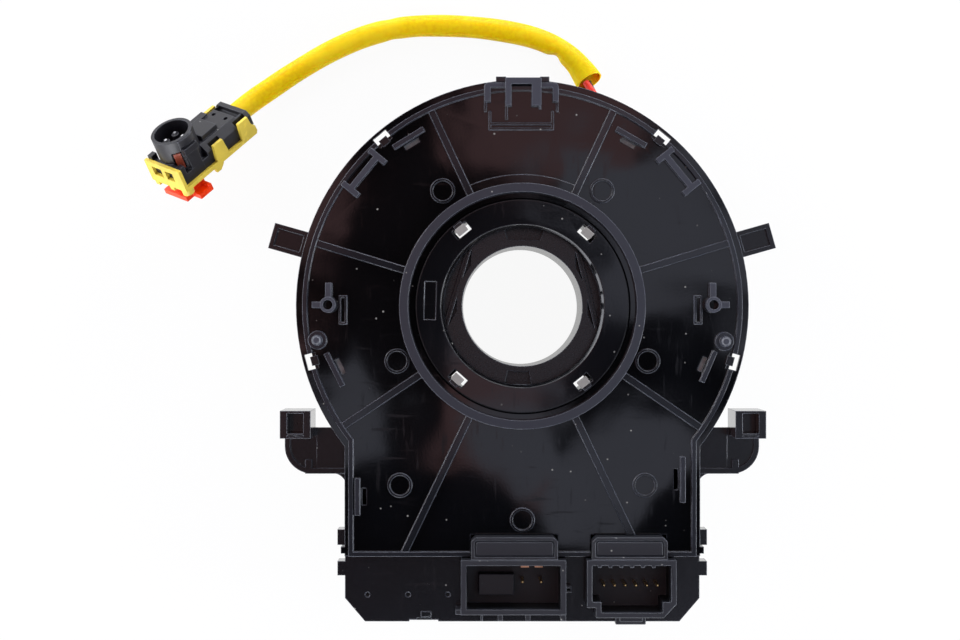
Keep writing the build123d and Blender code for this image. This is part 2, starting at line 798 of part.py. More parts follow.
def make_rear_cover():
    outline = cover_outline()
    plate = slab(outline - Circle(cover_hole_r), cover_z, plate_z)
    plate += ring_wall(cover_hole_r + root_sink, ledge_r, cover_z, cover_z + ledge_t)
    collar = ring_wall(cover_hole_r + collar_w, cover_hole_r, plate_z - root_sink, plate_z + collar_h)
    plate += collar
    step = sector(cover_hole_r + collar_w + step_out, cover_hole_r + collar_w / 2,
                  upper_rib_angles[0], upper_rib_angles[1])
    plate += slab(step, plate_z - root_sink, plate_z + step_h)
    lip_face = lip_outline()
    lip = lip_face - offset(lip_face, -lip_w, kind=Kind.INTERSECTION)
    plate += slab(lip, plate_z - root_sink, plate_z + lip_h)
    start = cover_hole_r + collar_w / 2
    ribs = Sketch()
    for angle in upper_rib_angles:
        ribs += radial(start, cover_r, rib_w, angle)
    for angle in lower_rib_angles:
        ribs += radial(start, cover_r - cover_end_y, rib_w, angle)
    inside = offset(lip_face, -lip_w / 2, kind=Kind.INTERSECTION)
    plate += slab(ribs & inside, plate_z - root_sink, plate_z + rib_h)
    for place in mirrored(dimple_places):
        plate += dimple_ring(place)
        plate -= dimple_cut(place)
    for ends in i_rib_ends:
        plate += i_rib(ends)
    for place in cross_peg_places:
        plate += cross_peg(place)
    for place in round_peg_places:
        plate += round_peg(place)
    plate += latch()
    for place in slot_places:
        lip_bar, cut = snap_slot(place)
        plate = plate + lip_bar - cut
    window_in_r = hook_inner_r - hook_gap - hook_gap
    for angle in rim_window_angles:
        window = radial(window_in_r, window_out_r, window_len, angle)
        plate -= slab(window, cover_z - cut_over, plate_z + cut_over)
        plate -= slab(radial(window_in_r - hook_nose - hook_gap, window_out_r, window_len, angle),
                      plate_z, plate_z + lip_h + cut_over)
    clear = hood_end_y + hook_gap
    for x_range in (airbag_hood_x, switch_hood_x):
        wide = (x_range[0] - hook_gap, x_range[1] + hook_gap)
        plate -= block(wide, (cover_end_y - cut_over, clear), cover_z - cut_over, plate_z + lip_h + cut_over)
    hook = side_hook()
    return plate + hook + mirror(hook, Plane.YZ)


def switch_outline():
    """The narrower shroud seen from above: one corner cut off and one stepped."""
    (x0, x1), (y0, y1) = switch_x, switch_y
    return notched([
        (x0, y1), (x1, y1), (x1, y0 + switch_bevel_y), (x1 - switch_bevel_x, y0), (x0 + switch_notch_x, y0),
        (x0 + switch_notch_x, y0 + switch_notch_y), (x0, y0 + switch_notch_y),
    ])


def switch_room():
    """The room inside the narrower shroud, stepped in at both lower corners."""
    x0, x1 = switch_x[0] + socket_wall, switch_x[1] - socket_wall
    y0, y1 = switch_y[0] + socket_wall, switch_y[1] - socket_wall
    left, right, step = x0 + switch_notch_x, x1 - room_step_x, y0 + room_step_y
    lower = [(x1, step), (right, step), (right, y0), (left, y0), (left, step), (x0, step)]
    return notched([(x0, y1), (x1, y1), *lower])


def socket_hood(hood_x, near_y):
    """The bevelled hood on the side of the cover, with a shallow groove round its top."""
    roof = socket_top_z - hood_drop
    flat = patch(hood_x, (hood_end_y, near_y))
    flat = chamfer(flat.vertices().group_by(Axis.Y)[-1], hood_bevel)
    hood = slab(flat, cover_z, roof)
    hood -= block((hood_x[0] - cut_over, hood_x[1] + cut_over), (near_y - cut_over, hood_end_y - hood_t),
                  plate_z + lip_h, roof - hood_t)
    outer = offset(flat, -hood_groove_in, kind=Kind.INTERSECTION)
    inner = offset(flat, -hood_groove_in - hood_groove_w, kind=Kind.INTERSECTION)
    return hood - slab(outer - inner, roof - hood_groove_depth, roof + cut_over)


def make_airbag_socket():
    """The wide shroud, with a key inside, ribs below and a hollow stub beside it."""
    floor = socket_top_z - socket_depth
    foot = case_top_z + hook_gap
    shell = block(airbag_x, airbag_y, skirt_floor_z, socket_top_z)
    shell += socket_hood(airbag_hood_x, airbag_y[1] - root_sink)
    shell -= block(
        (airbag_x[0] + socket_wall, airbag_x[1] - socket_wall),
        (airbag_y[0] + socket_wall, airbag_y[1] - socket_wall), floor, socket_top_z + cut_over,
    )
    shell += block(key_x, key_y, floor - root_sink, floor + key_h)
    for x_range in airbag_ribs:
        shell += block(x_range, (airbag_y[0] - airbag_rib_out, airbag_y[0] + root_sink), foot,
                       socket_top_z - airbag_rib_drop)
    shell += block(airbag_foot_x, airbag_foot_y, foot, socket_top_z - airbag_rib_drop)
    stub = patch(stub_x, stub_y)
    stub_room = offset(stub, -stub_wall, kind=Kind.INTERSECTION)
    return shell + slab(stub - stub_room, foot, foot + stub_h)


def make_switch_socket():
    """The narrower shroud with its cut corners, a toothed inner edge and a bevelled lug."""
    floor = socket_top_z - socket_depth
    foot = case_top_z + hook_gap
    shell = slab(switch_outline(), skirt_floor_z, socket_top_z)
    shell += socket_hood(switch_hood_x, switch_y[1] - root_sink)
    shell -= slab(switch_room(), floor, socket_top_z + cut_over)
    inner_y = switch_y[1] - socket_wall
    for number in range(switch_pins):
        x = tooth_first_x + number * pin_pitch
        shell += block((x - tooth_w / 2, x + tooth_w / 2), (inner_y - tooth_out, inner_y + root_sink),
                       socket_top_z - tooth_h, socket_top_z)
    lug = block(lug_x, (switch_y[0] - lug_out, switch_y[0] + root_sink), foot, foot + lug_h)
    lug += block((lug_x[0] + lug_step, lug_x[1] - lug_step),
                 (switch_y[0] - lug_out + lug_step, switch_y[0] + root_sink), foot, foot + lug_high)
    return shell + lug


def pin(x, y, base, height):
    """A square contact pin with a pointed end."""
    shaft = Pos(x, y, base) * Box(pin_w, pin_w, height - pin_w, align=LOW)
    point = Pos(x, y, base + height - pin_w) * extrude(Rectangle(pin_w, pin_w), pin_w, taper=pin_taper)
    return shaft + point


def make_airbag_pins():
    floor = socket_top_z - socket_depth
    return Compound(children=[pin(x, airbag_pin_y, floor, pin_h) for x in airbag_pin_x])


def make_shorting_bars():
    floor = socket_top_z - socket_depth
    bars = []
    for x in blade_x:
        x_range = (x - blade_w / 2, x + blade_w / 2)
        bars.append(block(x_range, (blade_y, blade_y + blade_t), floor, floor + blade_h))
    return Compound(children=bars)


def make_switch_pins():
    floor = socket_top_z - socket_depth
    places = [switch_pin_first_x + number * pin_pitch for number in range(switch_pins)]
    return Compound(children=[pin(x, switch_pin_y, floor, pin_h) for x in places])


def make_stator_joint_block():
    """The carrier that stands in the drum's gate and takes the ribbons' outer ends."""
    near = -chamber_r + slip_gap
    return block((-joint_block_half_w, joint_block_half_w), (near - joint_block_out, near),
                 skirt_floor_z, skirt_floor_z + joint_block_h)


def ribbon(first_r):
    """A flat cable wound in half turns about two centres, so that each turn stands one pitch out."""
    half = ribbon_t / 2
    edges = []
    for side in (half, -half):
        for number in range(2 * ribbon_turns):
            centre = ribbon_pitch / 4 * (-1 if number % 2 else 1)
            radius = first_r + number * ribbon_pitch / 2 + side
            start = -90 + 180 * (number % 2)
            edges.append(CenterArc((0, centre), radius, start, 180))
    count = 2 * ribbon_turns
    outer, inner = edges[:count], edges[count:]
    ends = [Line(outer[0] @ 0, inner[0] @ 0), Line(outer[-1] @ 1, inner[-1] @ 1)]
    face = make_face(outer + inner + ends)
    return slab(face, case_floor_z + film_t + slip_gap, cover_z - film_t - slip_gap)


def make_stator_film():
    return ring_wall(chamber_r - slip_gap, drum_outer_r + run_gap, cover_z - film_t, cover_z)


def rotor_frame(shape):
    return Rot(0, 0, hub_turn) * shape


def hub_hook(angle):
    """A snap arm of the hub with its nose over the ring's window edge."""
    outer = ring_hook_in_r + ring_hook_t
    top = ring_top_z + hook_gap + hook_nose_h
    shaft = slab(radial(ring_hook_in_r, outer, ring_hook_len, angle), neck_z - root_sink, top)
    nose = slab(radial(ring_hook_in_r, outer + hook_nose, ring_hook_len, angle), ring_top_z + hook_gap, top)
    return shaft + nose


def sector(outer, inner, low, high):
    """A flat piece of a ring between two angles."""
    arc_out = CenterArc((0, 0), outer, low, high - low)
    arc_in = CenterArc((0, 0), inner, low, high - low)
    sides = [Line(arc_out @ end, arc_in @ end) for end in (0, 1)]
    return make_face(Curve() + [arc_out, arc_in, *sides])


def on_circle(radius, angle):
    """A place at a radius and an angle about the steering axis."""
    return radius * cos(radians(angle)), radius * sin(radians(angle))


def crescent():
    """The right crescent's outline: an arc and its chord."""
    low, high = crescent_span
    arc = CenterArc((0, 0), crescent_r, low, high - low)
    return make_face(Curve() + [arc, Line(arc @ 1, arc @ 0)])


def crescent_pocket():
    """The deep pocket between the bore's wall and the right crescent."""
    low, high = crescent_span
    start, end = Vector(*on_circle(crescent_r, low)), Vector(*on_circle(crescent_r, high))
    along = (end - start).normalized()
    inward = Vector(-along.Y, along.X) * crescent_web
    first = start + along * pocket_inset + inward
    last = end - along * pocket_inset + inward
    arc = CenterArc((0, 0), column_bore_r + pocket_wall, pocket_span[0], pocket_span[1] - pocket_span[0])
    return make_face(Curve() + [arc, Line(arc @ 1, last), Line(last, first), Line(first, arc @ 0)])


def floor_notch(middle_x, inner, outer, inner_half, outer_half):
    """A notch with sloped sides in the recessed floor."""
    return notched([(middle_x - inner_half, inner), (middle_x + inner_half, inner),
                    (middle_x + outer_half, outer), (middle_x - outer_half, outer)])


def hub_floor():
    """The recessed floor inside the ring, with stepped crescents, pockets and two notches."""
    floor = ring_wall(hub_floor_r, column_bore_r, hub_floor_z - hub_floor_t, hub_floor_z)
    floor += ring_wall(drum_outer_r - drum_wall + root_sink, hub_floor_r - root_sink,
                       hub_floor_z - hub_web_t, hub_floor_z)
    open_z = hub_floor_z + cut_over
    shape = crescent()
    cuts = slab(shape, hub_floor_z - crescent_step, open_z)
    cuts += slab(offset(shape, -crescent_inset, kind=Kind.INTERSECTION), hub_floor_z - crescent_depth, open_z)
    rib = slab(radial(column_bore_r, column_bore_r + pocket_rib_len, pocket_rib_w, pocket_rib_angle),
               hub_floor_z - pocket_depth - root_sink, hub_floor_z)
    pocket = slab(crescent_pocket(), hub_floor_z - pocket_depth, open_z) - rib
    floor = floor - cuts - mirror(cuts, Plane.YZ) - pocket - mirror(pocket, Plane.YZ)
    top_notch = floor_notch(0, *notch_top_y, *notch_top_half_w)
    low_notch = floor_notch(notch_low_x, *notch_low_y, *notch_low_half_w)
    return floor - slab(top_notch + low_notch, hub_floor_z - notch_depth, open_z)


def drive_post(angle):
    """A round post that the steering wheel's hub drives."""
    body = Cylinder(post_r, post_h + root_sink, align=LOW)
    body = chamfer(body.edges().group_by(Axis.Z)[0], post_tip)
    hole = Pos(0, 0, -cut_over) * Cylinder(post_hole_r, post_h, align=LOW)
    return Rot(0, 0, angle) * Pos(post_place_r, 0, 0) * (body - hole)


def make_rotor():
    """The hub: the sleeve round the column bore, the drum, the neck and the floor between them."""
    body = ring_wall(column_bore_r + sleeve_wall, column_bore_r, 0, hub_floor_z)
    body += ring_wall(collar_r, column_bore_r, 0, face_top_z)
    drum_in_r = drum_outer_r - drum_wall
    neck_in_r = neck_outer_r - neck_wall
    body += ring_wall(drum_outer_r, drum_in_r, face_z, neck_z)
    body += ring_wall(drum_outer_r + drum_seat, drum_in_r, case_floor_z, case_floor_z + drum_seat_h)
    body += ring_wall(drum_outer_r, neck_in_r, neck_z - neck_wall, neck_z)
    body += ring_wall(neck_outer_r, neck_in_r, neck_z - root_sink, ring_z)
    body += hub_floor()
    for angle in ring_window_angles:
        body -= slab(radial(ring_window_in_r, drum_outer_r + cut_over, ring_hook_slot_len, angle),
                     neck_z, ring_z + cut_over)
        body -= slab(radial(ring_window_in_r, drum_in_r, ring_hook_slot_len, angle),
                     face_z - cut_over, ring_z + cut_over)
        body += hub_hook(angle)
    for number in range(hub_ribs):
        angle = 360 / hub_ribs * number
        spoke = radial(collar_r - root_sink, drum_in_r + root_sink, hub_rib_w, angle)
        body += slab(spoke, face_z, case_floor_z)
    low = case_floor_z + hub_block_t
    body -= block((-hub_block_half_w - slip_gap, hub_block_half_w + slip_gap),
                  (-drum_outer_r - cut_over, -drum_in_r + hub_block_t), low, low + hub_block_h)
    return rotor_frame(body)


def make_face_plate():
    """The plate that turns in the case's opening, with the posts that the steering wheel drives."""
    plate = ring_wall(face_r, drum_outer_r + fit_gap, face_z, face_top_z)
    plate += ring_wall(rim_r, drum_outer_r + fit_gap, face_top_z - root_sink, case_floor_z)
    for angle in post_angles:
        plate += drive_post(angle)
    return rotor_frame(plate)


def make_hub_ring():
    flat = Circle(ring_outer_r) - Circle(ring_inner_r)
    ring = slab(flat, ring_z, ring_top_z)
    rims = ring.edges().filter_by(GeomType.CIRCLE).group_by(Axis.Z)[-1].sort_by(SortBy.RADIUS)
    ring = chamfer(rims[0], ring_inner_bevel)
    rims = ring.edges().filter_by(GeomType.CIRCLE).group_by(Axis.Z)[-1].sort_by(SortBy.RADIUS)
    ring = chamfer(rims[-1], ring_outer_bevel)
    for angle in ring_window_angles:
        ring -= slab(radial(ring_window_in_r, ring_window_out_r, ring_window_len, angle),
                     ring_z - cut_over, ring_top_z + cut_over)
    ring -= block(ring_mark_x, ring_mark_y, ring_top_z - ring_mark_depth, ring_top_z + cut_over)
    return rotor_frame(ring)


def make_rotor_film():
    film = ring_wall(rim_r, drum_outer_r + drum_seat + slip_gap, case_floor_z, case_floor_z + film_t)
    return rotor_frame(film)


def make_rotor_joint_block():
    """The carrier that fills the drum's window and takes the ribbons' inner ends."""
    low = case_floor_z + hub_block_t
    y_range = (-drum_outer_r + root_sink, -drum_outer_r + drum_wall + hub_block_t)
    shape = block((-hub_block_half_w, hub_block_half_w), y_range, low, low + hub_block_h)
    return rotor_frame(shape)


def make_wheel_socket():
    """The socket tower on the wheel side, open downwards."""
    shell = block(tower_socket_x, tower_socket_y, 0, face_z)
    cavity = block(
        (tower_socket_x[0] + tower_socket_wall, tower_socket_x[1] - tower_socket_wall),
        (tower_socket_y[0] + tower_socket_wall, tower_socket_y[1] - tower_socket_wall),
        -cut_over, tower_socket_depth,
    )
    key_y_range = (tower_socket_y[0] - tower_key_t, tower_socket_y[0] + root_sink)
    key = block((-tower_key_w / 2, tower_key_w / 2), key_y_range, tower_key_t, face_z - tower_key_t)
    return rotor_frame(shell - cavity + key)


def make_wheel_pins():
    middle_y = (tower_socket_y[0] + tower_socket_y[1]) / 2
    pins = []
    for column in range(wheel_pin_columns):
        for row in range(wheel_pin_rows):
            x = (column - (wheel_pin_columns - 1) / 2) * wheel_pin_pitch
            y = middle_y + (row - (wheel_pin_rows - 1) / 2) * wheel_pin_pitch
            bottom = tower_socket_depth - wheel_pin_h
            pins.append(rotor_frame(block((x - pin_w / 2, x + pin_w / 2), (y - pin_w / 2, y + pin_w / 2),
                                          bottom, tower_socket_depth)))
    return Compound(children=pins)


def make_wire_cover():
    """The small hood on the face plate that the lead leaves through its outer end."""
    flat = patch((hood_r0, hood_r1), (-hood_half_w, hood_half_w))
    shell = slab(flat, 0, face_z)
    room = block((hood_r0 + hood_wall, hood_r1 - hood_wall),
                 (-hood_half_w + hood_wall, hood_half_w - hood_wall), hood_wall, face_z + cut_over)
    return Rot(0, 0, hood_angle) * (shell - room)


def corner_radii(points):
    """The arc at each inner point of a route: as large as the two runs beside it allow."""
    places = [Vector(*point) for point in points]
    radii = []
    for before, here, after in zip(places, places[1:], places[2:]):
        turn = (here - before).get_angle(after - here)
        shorter = min((here - before).length, (after - here).length)
        radii.append(arc_share * shorter / tan(radians(turn / 2)))
    return radii


def cord(points, radius):
    """A round cord along straight runs joined by tangent arcs."""
    radii = corner_radii(points)
    path = FilletPolyline(*points, radius=radii)
    print("route radii", [round(value, 1) for value in radii], "length", round(path.length, 1))
    section = Plane(origin=path @ 0, z_dir=path % 0) * Circle(radius)
    tube = sweep(section, path=path)
    print("volume against section times length", round(tube.volume / (pi * radius ** 2 * path.length), 4))
    return tube


def plug_place():
    """Where the plug lies: its cable end on the route's last point, tipped and rolled."""
    heading, dip, roll = (radians(value) for value in (plug_heading, plug_dip, plug_roll))
    along = Vector(cos(dip) * cos(heading), cos(dip) * sin(heading), -sin(dip))
    upright = Vector(sin(dip) * cos(heading), sin(dip) * sin(heading), cos(dip))
    across = Vector(-sin(heading), cos(heading), 0)
    mouth = upright * cos(roll) + across * sin(roll)
    frame = Plane(origin=sleeve_points[-1], x_dir=along, z_dir=mouth)
    return frame.location * Pos(0, 0, -plug_entry_h)


def plug_block(x_range, half_w, bottom, top):
    return block(x_range, (-half_w, half_w), bottom, top)


def from_front(x_range):
    """Places along the plug that are given from its front end."""
    return tuple(x - plug_len for x in x_range)


def plug_section(points, x_range):
    """A stretch of the plug that keeps one cross-section, given by its right half from below."""
    outline = [*points, *((-y, z) for y, z in reversed(points))]
    section = Plane.YZ * notched(outline)
    return Pos(x_range[0], 0, 0) * extrude(section, x_range[1] - x_range[0])


def plug_side(points):
    """A pair of flat side pieces of the frame, given by places from the front and heights."""
    outline = Plane.XZ * notched([(x - plug_len, z) for x, z in points])
    piece = extrude(outline, frame_t)
    near = Pos(0, -plug_half_w, 0) * piece
    return near + mirror(near, Plane.XZ)


def round_cup():
    """The round socket with its outer band, the pillar on its side and the window of the clip."""
    cup = Pos(cup_x, 0, 0) * Cylinder(cup_r, cup_h, align=LOW)
    about = Pos(cup_x, 0, 0)
    band = sector(cup_r + cup_band_out, cup_r - cup_wall / 2, *cup_band_span)
    cup += about * slab(band, cup_h - cup_band_drop - cup_band_h, cup_h - cup_band_drop)
    start = cup_r - cup_wall / 2
    cup += about * slab(radial(start, cup_r + pillar_out, pillar_w, pillar_angle), 0, pillar_h)
    cup += about * slab(radial(start, cup_r + pillar_cap_out, pillar_cap_w, pillar_angle),
                        pillar_h - root_sink, pillar_h + pillar_cap_h)
    cup -= about * slab(Circle(cup_r - cup_wall), cup_floor_h, cup_h + cut_over)
    window = radial(cup_r - cup_wall - clip_gap, cup_r + cut_over, clip_w + 2 * clip_gap, clip_angle)
    return cup - about * slab(window, clip_low, clip_low + clip_h + clip_gap)


def make_plug_housing():
    rear_x = from_front(rear_block_x)
    tray_x = (-plug_len, rear_x[0] + root_sink)
    body = plug_block(tray_x, plug_half_w, 0, tray_h)
    room_x = (tray_x[0] + tray_wall, tray_x[1])
    body -= plug_block(room_x, plug_half_w - tray_wall, tray_floor, tray_h + cut_over)
    body += plug_block((-plug_len, -plug_len + tray_wall), plug_half_w, 0, front_wall_h)
    edges = ((-plug_half_w, -plug_half_w + corner_w), (plug_half_w - corner_w, plug_half_w))
    for y_range, height in zip(edges, corner_h):
        body += block(from_front((0, corner_len)), y_range, 0, height)
    body += plug_section(rear_section, rear_x)
    body += plug_block(from_front(pad_x), pad_half_w, rear_top - root_sink, rear_top + pad_h)
    body += block(from_front(wing_x), (plug_half_w - wing_w, plug_half_w), 0, wing_h)
    body += plug_section(flange_section, (-flange_t, 0))
    body += round_cup()
    for y in (-top_hole_y, top_hole_y):
        hole = Cylinder(top_hole_r, top_hole_depth + cut_over, align=LOW)
        body -= Pos(top_hole_x - plug_len, y, rear_top - top_hole_depth) * hole
    channel = from_front(channel_x)
    body -= plug_block(channel, channel_half_w, rear_top - channel_depth, rear_top + cut_over)
    for x_range in hook_pockets:
        for y_range in ((-plug_half_w - cut_over, -plug_half_w + hook_pocket_w),
                        (plug_half_w - hook_pocket_w, plug_half_w + cut_over)):
            body -= block(from_front(x_range), y_range, hook_pocket_z, rear_top + cut_over)
    stem_x = from_front((lock_stem_x[0] - lock_gap, lock_stem_x[1] + lock_gap))
    body -= plug_block(stem_x, lock_stem_half_w + lock_gap, -cut_over, lock_stem_in + lock_stand + lock_gap)
    return plug_place() * body


def insert_posts():
    """Places of the four contact towers in the round socket."""
    return [(cup_x + insert_post_ring_r * cos(radians(angle)), insert_post_ring_r * sin(radians(angle)))
            for angle in insert_post_angles]


def make_plug_insert():
    base = Pos(cup_x, 0, cup_floor_h) * Cylinder(cup_r - cup_wall - insert_clear, insert_base_h, align=LOW)
    for x, y in insert_posts():
        base += Pos(x, y, cup_floor_h) * Cylinder(insert_post_r, insert_base_h + insert_post_h, align=LOW)
    return plug_place() * base


def make_plug_contacts():
    top = cup_floor_h + insert_base_h + insert_post_h
    tip = Box(contact_w, contact_w, contact_stand, align=LOW)
    return Compound(children=[plug_place() * Pos(x, y, top) * tip for x, y in insert_posts()])


def make_plug_seal():
    """The brown-red clip that shows in the round socket's window."""
    start = cup_r - cup_wall
    clip = slab(radial(start, start + clip_t, clip_w, clip_angle), clip_low, clip_low + clip_h)
    return plug_place() * Pos(cup_x, 0, 0) * clip


def make_plug_lock_frame():
    """The yellow frame: a base plate under the plug, two hooks a side and a comb at the front."""
    half = plug_half_w + frame_t
    front = (-plug_len - frame_t, -plug_len)
    frame = plug_block((front[0], -frame_end), half, -frame_base_t, 0)
    for points in (*frame_hooks, frame_lug, frame_lobe):
        frame += plug_side(points)
    comb = plug_block(front, half, -frame_base_t, comb_h)
    for y_range in comb_windows:
        comb -= block((front[0] - cut_over, front[1] + cut_over), y_range, comb_sill, comb_h - comb_rail)
    frame += comb
    for y in comb_feet:
        frame += block((front[0], front[0] + comb_foot_t), (y - comb_foot_w / 2, y + comb_foot_w / 2),
                       -frame_base_t - comb_foot_drop, -frame_base_t + root_sink)
    knob = Pos(front[0] + knob_r, knob_y, -frame_base_t - knob_len)
    frame += knob * Cylinder(knob_r, knob_len + root_sink, align=LOW)
    stem_x = from_front((lock_stem_x[0] - lock_gap, lock_stem_x[1] + lock_gap))
    frame -= plug_block(stem_x, lock_stem_half_w + lock_gap, -frame_base_t - cut_over, cut_over)
    return plug_place() * frame


def make_plug_lock():
    """The orange tab under the frame: a plate that is pushed in, on a stem that runs in the plug."""
    top = -frame_base_t - lock_stand - lock_gap
    tab = plug_block(from_front(lock_plate_x), lock_plate_half_w, top - lock_plate_t, top)
    tab += plug_block(from_front(lock_rim_x), lock_plate_half_w, top - root_sink, top + lock_rim_h)
    reach = 2 * knob_r + knob_gap - frame_t
    notch_x = (-plug_len - cut_over, -plug_len + reach)
    notch_y = (-lock_plate_half_w - cut_over, knob_y + knob_r + knob_gap)
    tab -= block(notch_x, notch_y, top - lock_plate_t - cut_over, top + lock_rim_h + cut_over)
    tab += plug_block(from_front(lock_stem_x), lock_stem_half_w, top - root_sink, lock_stem_in)
    return plug_place() * tab


def build():
    nodes = {
        "front_case": make_front_case(),
        "rear_cover": make_rear_cover(),
        "airbag_socket": make_airbag_socket(),
        "switch_socket": make_switch_socket(),
        "airbag_socket_pins": make_airbag_pins(),
        "airbag_shorting_bars": make_shorting_bars(),
        "switch_socket_pins": make_switch_pins(),
        "stator_joint_block": make_stator_joint_block(),
        "ribbon_cable_a": ribbon(ribbon_inner_r),
        "ribbon_cable_b": ribbon(ribbon_inner_r + ribbon_pair_step),
        "stator_slip_film": make_stator_film(),
        "rotor": make_rotor(),
        "face_plate": make_face_plate(),
        "hub_ring": make_hub_ring(),
        "rotor_slip_film": make_rotor_film(),
        "rotor_joint_block": make_rotor_joint_block(),
        "wheel_socket": make_wheel_socket(),
        "wheel_socket_pins": make_wheel_pins(),
        "wire_cover": make_wire_cover(),
        "airbag_wire_a": cord(wire_a_points, wire_r),
        "airbag_wire_b": cord(wire_b_points, wire_r),
        "lead_sleeve": cord(sleeve_points, sleeve_r),
        "plug_housing": make_plug_housing(),
        "plug_insert": make_plug_insert(),
        "plug_contacts": make_plug_contacts(),
        "plug_seal": make_plug_seal(),
        "plug_lock_frame": make_plug_lock_frame(),
        "plug_lock": make_plug_lock(),
    }
    return nodes


def main():
    os.makedirs("parts", exist_ok=True)
    for name, shape in build().items():
        export_step(shape, "parts/" + name + ".step")
        box = shape.bounding_box()
        print(name, [round(value, 1) for value in (*box.min, *box.max)], len(shape.solids()))


main()
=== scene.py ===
import json
from math import cos, exp, pi, radians, sin

import bmesh
import bpy
from bpy.props import FloatProperty, FloatVectorProperty, IntProperty, PointerProperty
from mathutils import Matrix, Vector, noise


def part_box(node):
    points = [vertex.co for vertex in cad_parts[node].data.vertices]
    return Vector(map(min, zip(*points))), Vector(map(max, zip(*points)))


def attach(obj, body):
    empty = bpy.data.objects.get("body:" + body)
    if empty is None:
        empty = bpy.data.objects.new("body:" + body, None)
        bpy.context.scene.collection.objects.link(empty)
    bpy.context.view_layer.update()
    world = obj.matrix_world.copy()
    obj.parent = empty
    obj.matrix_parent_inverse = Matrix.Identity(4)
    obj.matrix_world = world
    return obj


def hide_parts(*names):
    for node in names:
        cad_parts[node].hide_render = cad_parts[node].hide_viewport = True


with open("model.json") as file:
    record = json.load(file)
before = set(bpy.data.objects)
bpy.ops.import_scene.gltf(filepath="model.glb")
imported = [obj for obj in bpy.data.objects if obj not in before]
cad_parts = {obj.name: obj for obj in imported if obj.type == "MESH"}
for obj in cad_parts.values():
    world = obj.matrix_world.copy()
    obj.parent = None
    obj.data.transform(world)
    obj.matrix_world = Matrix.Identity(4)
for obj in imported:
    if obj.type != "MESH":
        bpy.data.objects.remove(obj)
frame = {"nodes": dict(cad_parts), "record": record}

bl_info = {
    "name": "Steering clock spring",
    "version": (1, 0, 0),
    "blender": (4, 5, 0),
    "location": "3D View > Sidebar > Clock spring",
    "description": "Dresses the packed clock spring: mouldings, lead, plug and stage",
    "category": "Object",
}

MM = 0.001
UP = Vector((0, 0, 1))

# The lead's route in metres, laid as the solids are but for the sleeve's mouth and the wires in it
WIRE_A_ROUTE = (
    (0.02293, 0.03762, 0.0026), (0.0248, 0.042, 0.0029), (0.024, 0.0469, 0.0033),
    (0.0203, 0.0512, 0.0035), (0.0163, 0.0568, 0.0034),
)
WIRE_B_ROUTE = (
    (0.02113, 0.03863, 0.0026), (0.0229, 0.0426, 0.0022), (0.0226, 0.047, 0.0018),
    (0.02, 0.0512, 0.00175), (0.017, 0.0568, 0.0018),
)
SLEEVE_ROUTE = (
    (0.0181, 0.0556, 0.0026), (0.0151, 0.0607, 0.0026), (0.0108, 0.0646, 0.0026),
    (0.0046, 0.0677, 0.0026), (-0.005, 0.0698, 0.0026), (-0.016, 0.0709, 0.0026),
    (-0.028, 0.0708, 0.0027), (-0.0376, 0.0689, 0.0028), (-0.0468, 0.065, 0.0029),
    (-0.0556, 0.0599, 0.0028), (-0.0624, 0.0553, 0.0028), (-0.06766, 0.05158, 0.00416),
    (-0.0711, 0.04831, 0.00656),
)

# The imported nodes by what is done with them, and what the record says of each
PLUG_MOULDINGS = ("plug_housing", "plug_insert", "plug_lock_frame", "plug_lock")
PLUG_SMALL = ("plug_contacts", "plug_seal")
SLOTS = {row["node"]: row["material_slot"] for row in frame["record"]["subparts"]}
BODIES = {node: body for body, nodes in frame["record"]["behaviour"]["bodies"].items() for node in nodes}

# The imported part brings materials named after its slots, so the finishes made here have a prefix
PREFIX = "clock_"

# How many cells of a pattern lie in a metre
STREAK_CELLS = 900
CROSS_STREAK_CELLS = 700
CLOUD_CELLS = 45
DUST_CELLS = 330
DUST_CLOUD_CELLS = 190
WEAR_CELLS = 420
BLOTCH_CELLS = 120
SKIN_CELLS = 260
TONE_CELLS = 140
RUB_CELLS = 800
DRAWN_LINE_CELLS = 2600
DULL_CELLS = 500
ROLLED_LINE_CELLS = 1500

# What the black mouldings share
EDGE_SAMPLES = 5
EDGE_RADIUS = 0.3 * MM
# Painted highlight colour of the rounded moulded edges
EDGE_HIGHLIGHT_GREY = (0.08, 0.09, 0.12)
# Painted sheen colour of the raised tops
RAISED_SHEEN_GREY = (0.028, 0.031, 0.042)
RAISED_RANGE = 3.6 * MM
DUST_GREY = (0.3, 0.3, 0.28)
DUST_RADIUS = 0.07
SCUFF_SHARE = 0.25
HOOK_GREY = (0.2, 0.19, 0.18)

# What the coloured mouldings share
COLOURED_GRAIN = 0.2 * MM
COLOURED_GRAIN_DEPTH = 0.01 * MM

# How finely the forms are made
EDGE_STEPS = 2
NOSE_STEPS = 3
CURVE_STEPS = 12
WIRE_SIDES = 16
WIRE_STEP = 0.4 * MM
SLEEVE_SIDES = 40
SLEEVE_STEP = 0.35 * MM
WELD = 0.002 * MM
PIN_WELD = 0.01 * MM

# The light all round
CEILING_DARK = (0.02, 0.02, 0.024)
CEILING_BROWN = (0.8, 0.45, 0.47)
CEILING_GREY = (0.75, 0.78, 0.95)
WALL_GREY = (0.4, 0.41, 0.44)
WINDOW_WHITE = (4.6, 4.7, 5.1)

# The lamps: place, size, share of the lamp power and tint
LAMP_TARGET = (0, 0, 0.03)
LAMPS = {
    "left lamp": ((-0.58, 0.3, 0.36), (0.3, 0.4), 0.8, (1, 0.99, 0.97)),
    "right lamp": ((0.6, -0.1, 0.3), (0.25, 0.4), 0.8, (0.93, 0.96, 1)),
    "low lamp": ((-0.1, -0.65, 0.28), (0.4, 0.25), 0.6, (0.95, 0.97, 1)),
    "high lamp": ((0.2, 0.65, 0.3), (0.4, 0.25), 0.5, (0.95, 0.97, 1)),
}
CAMERA_SENSOR = 36
CAMERA_NEAR = 0.01
CAMERA_FAR = 20


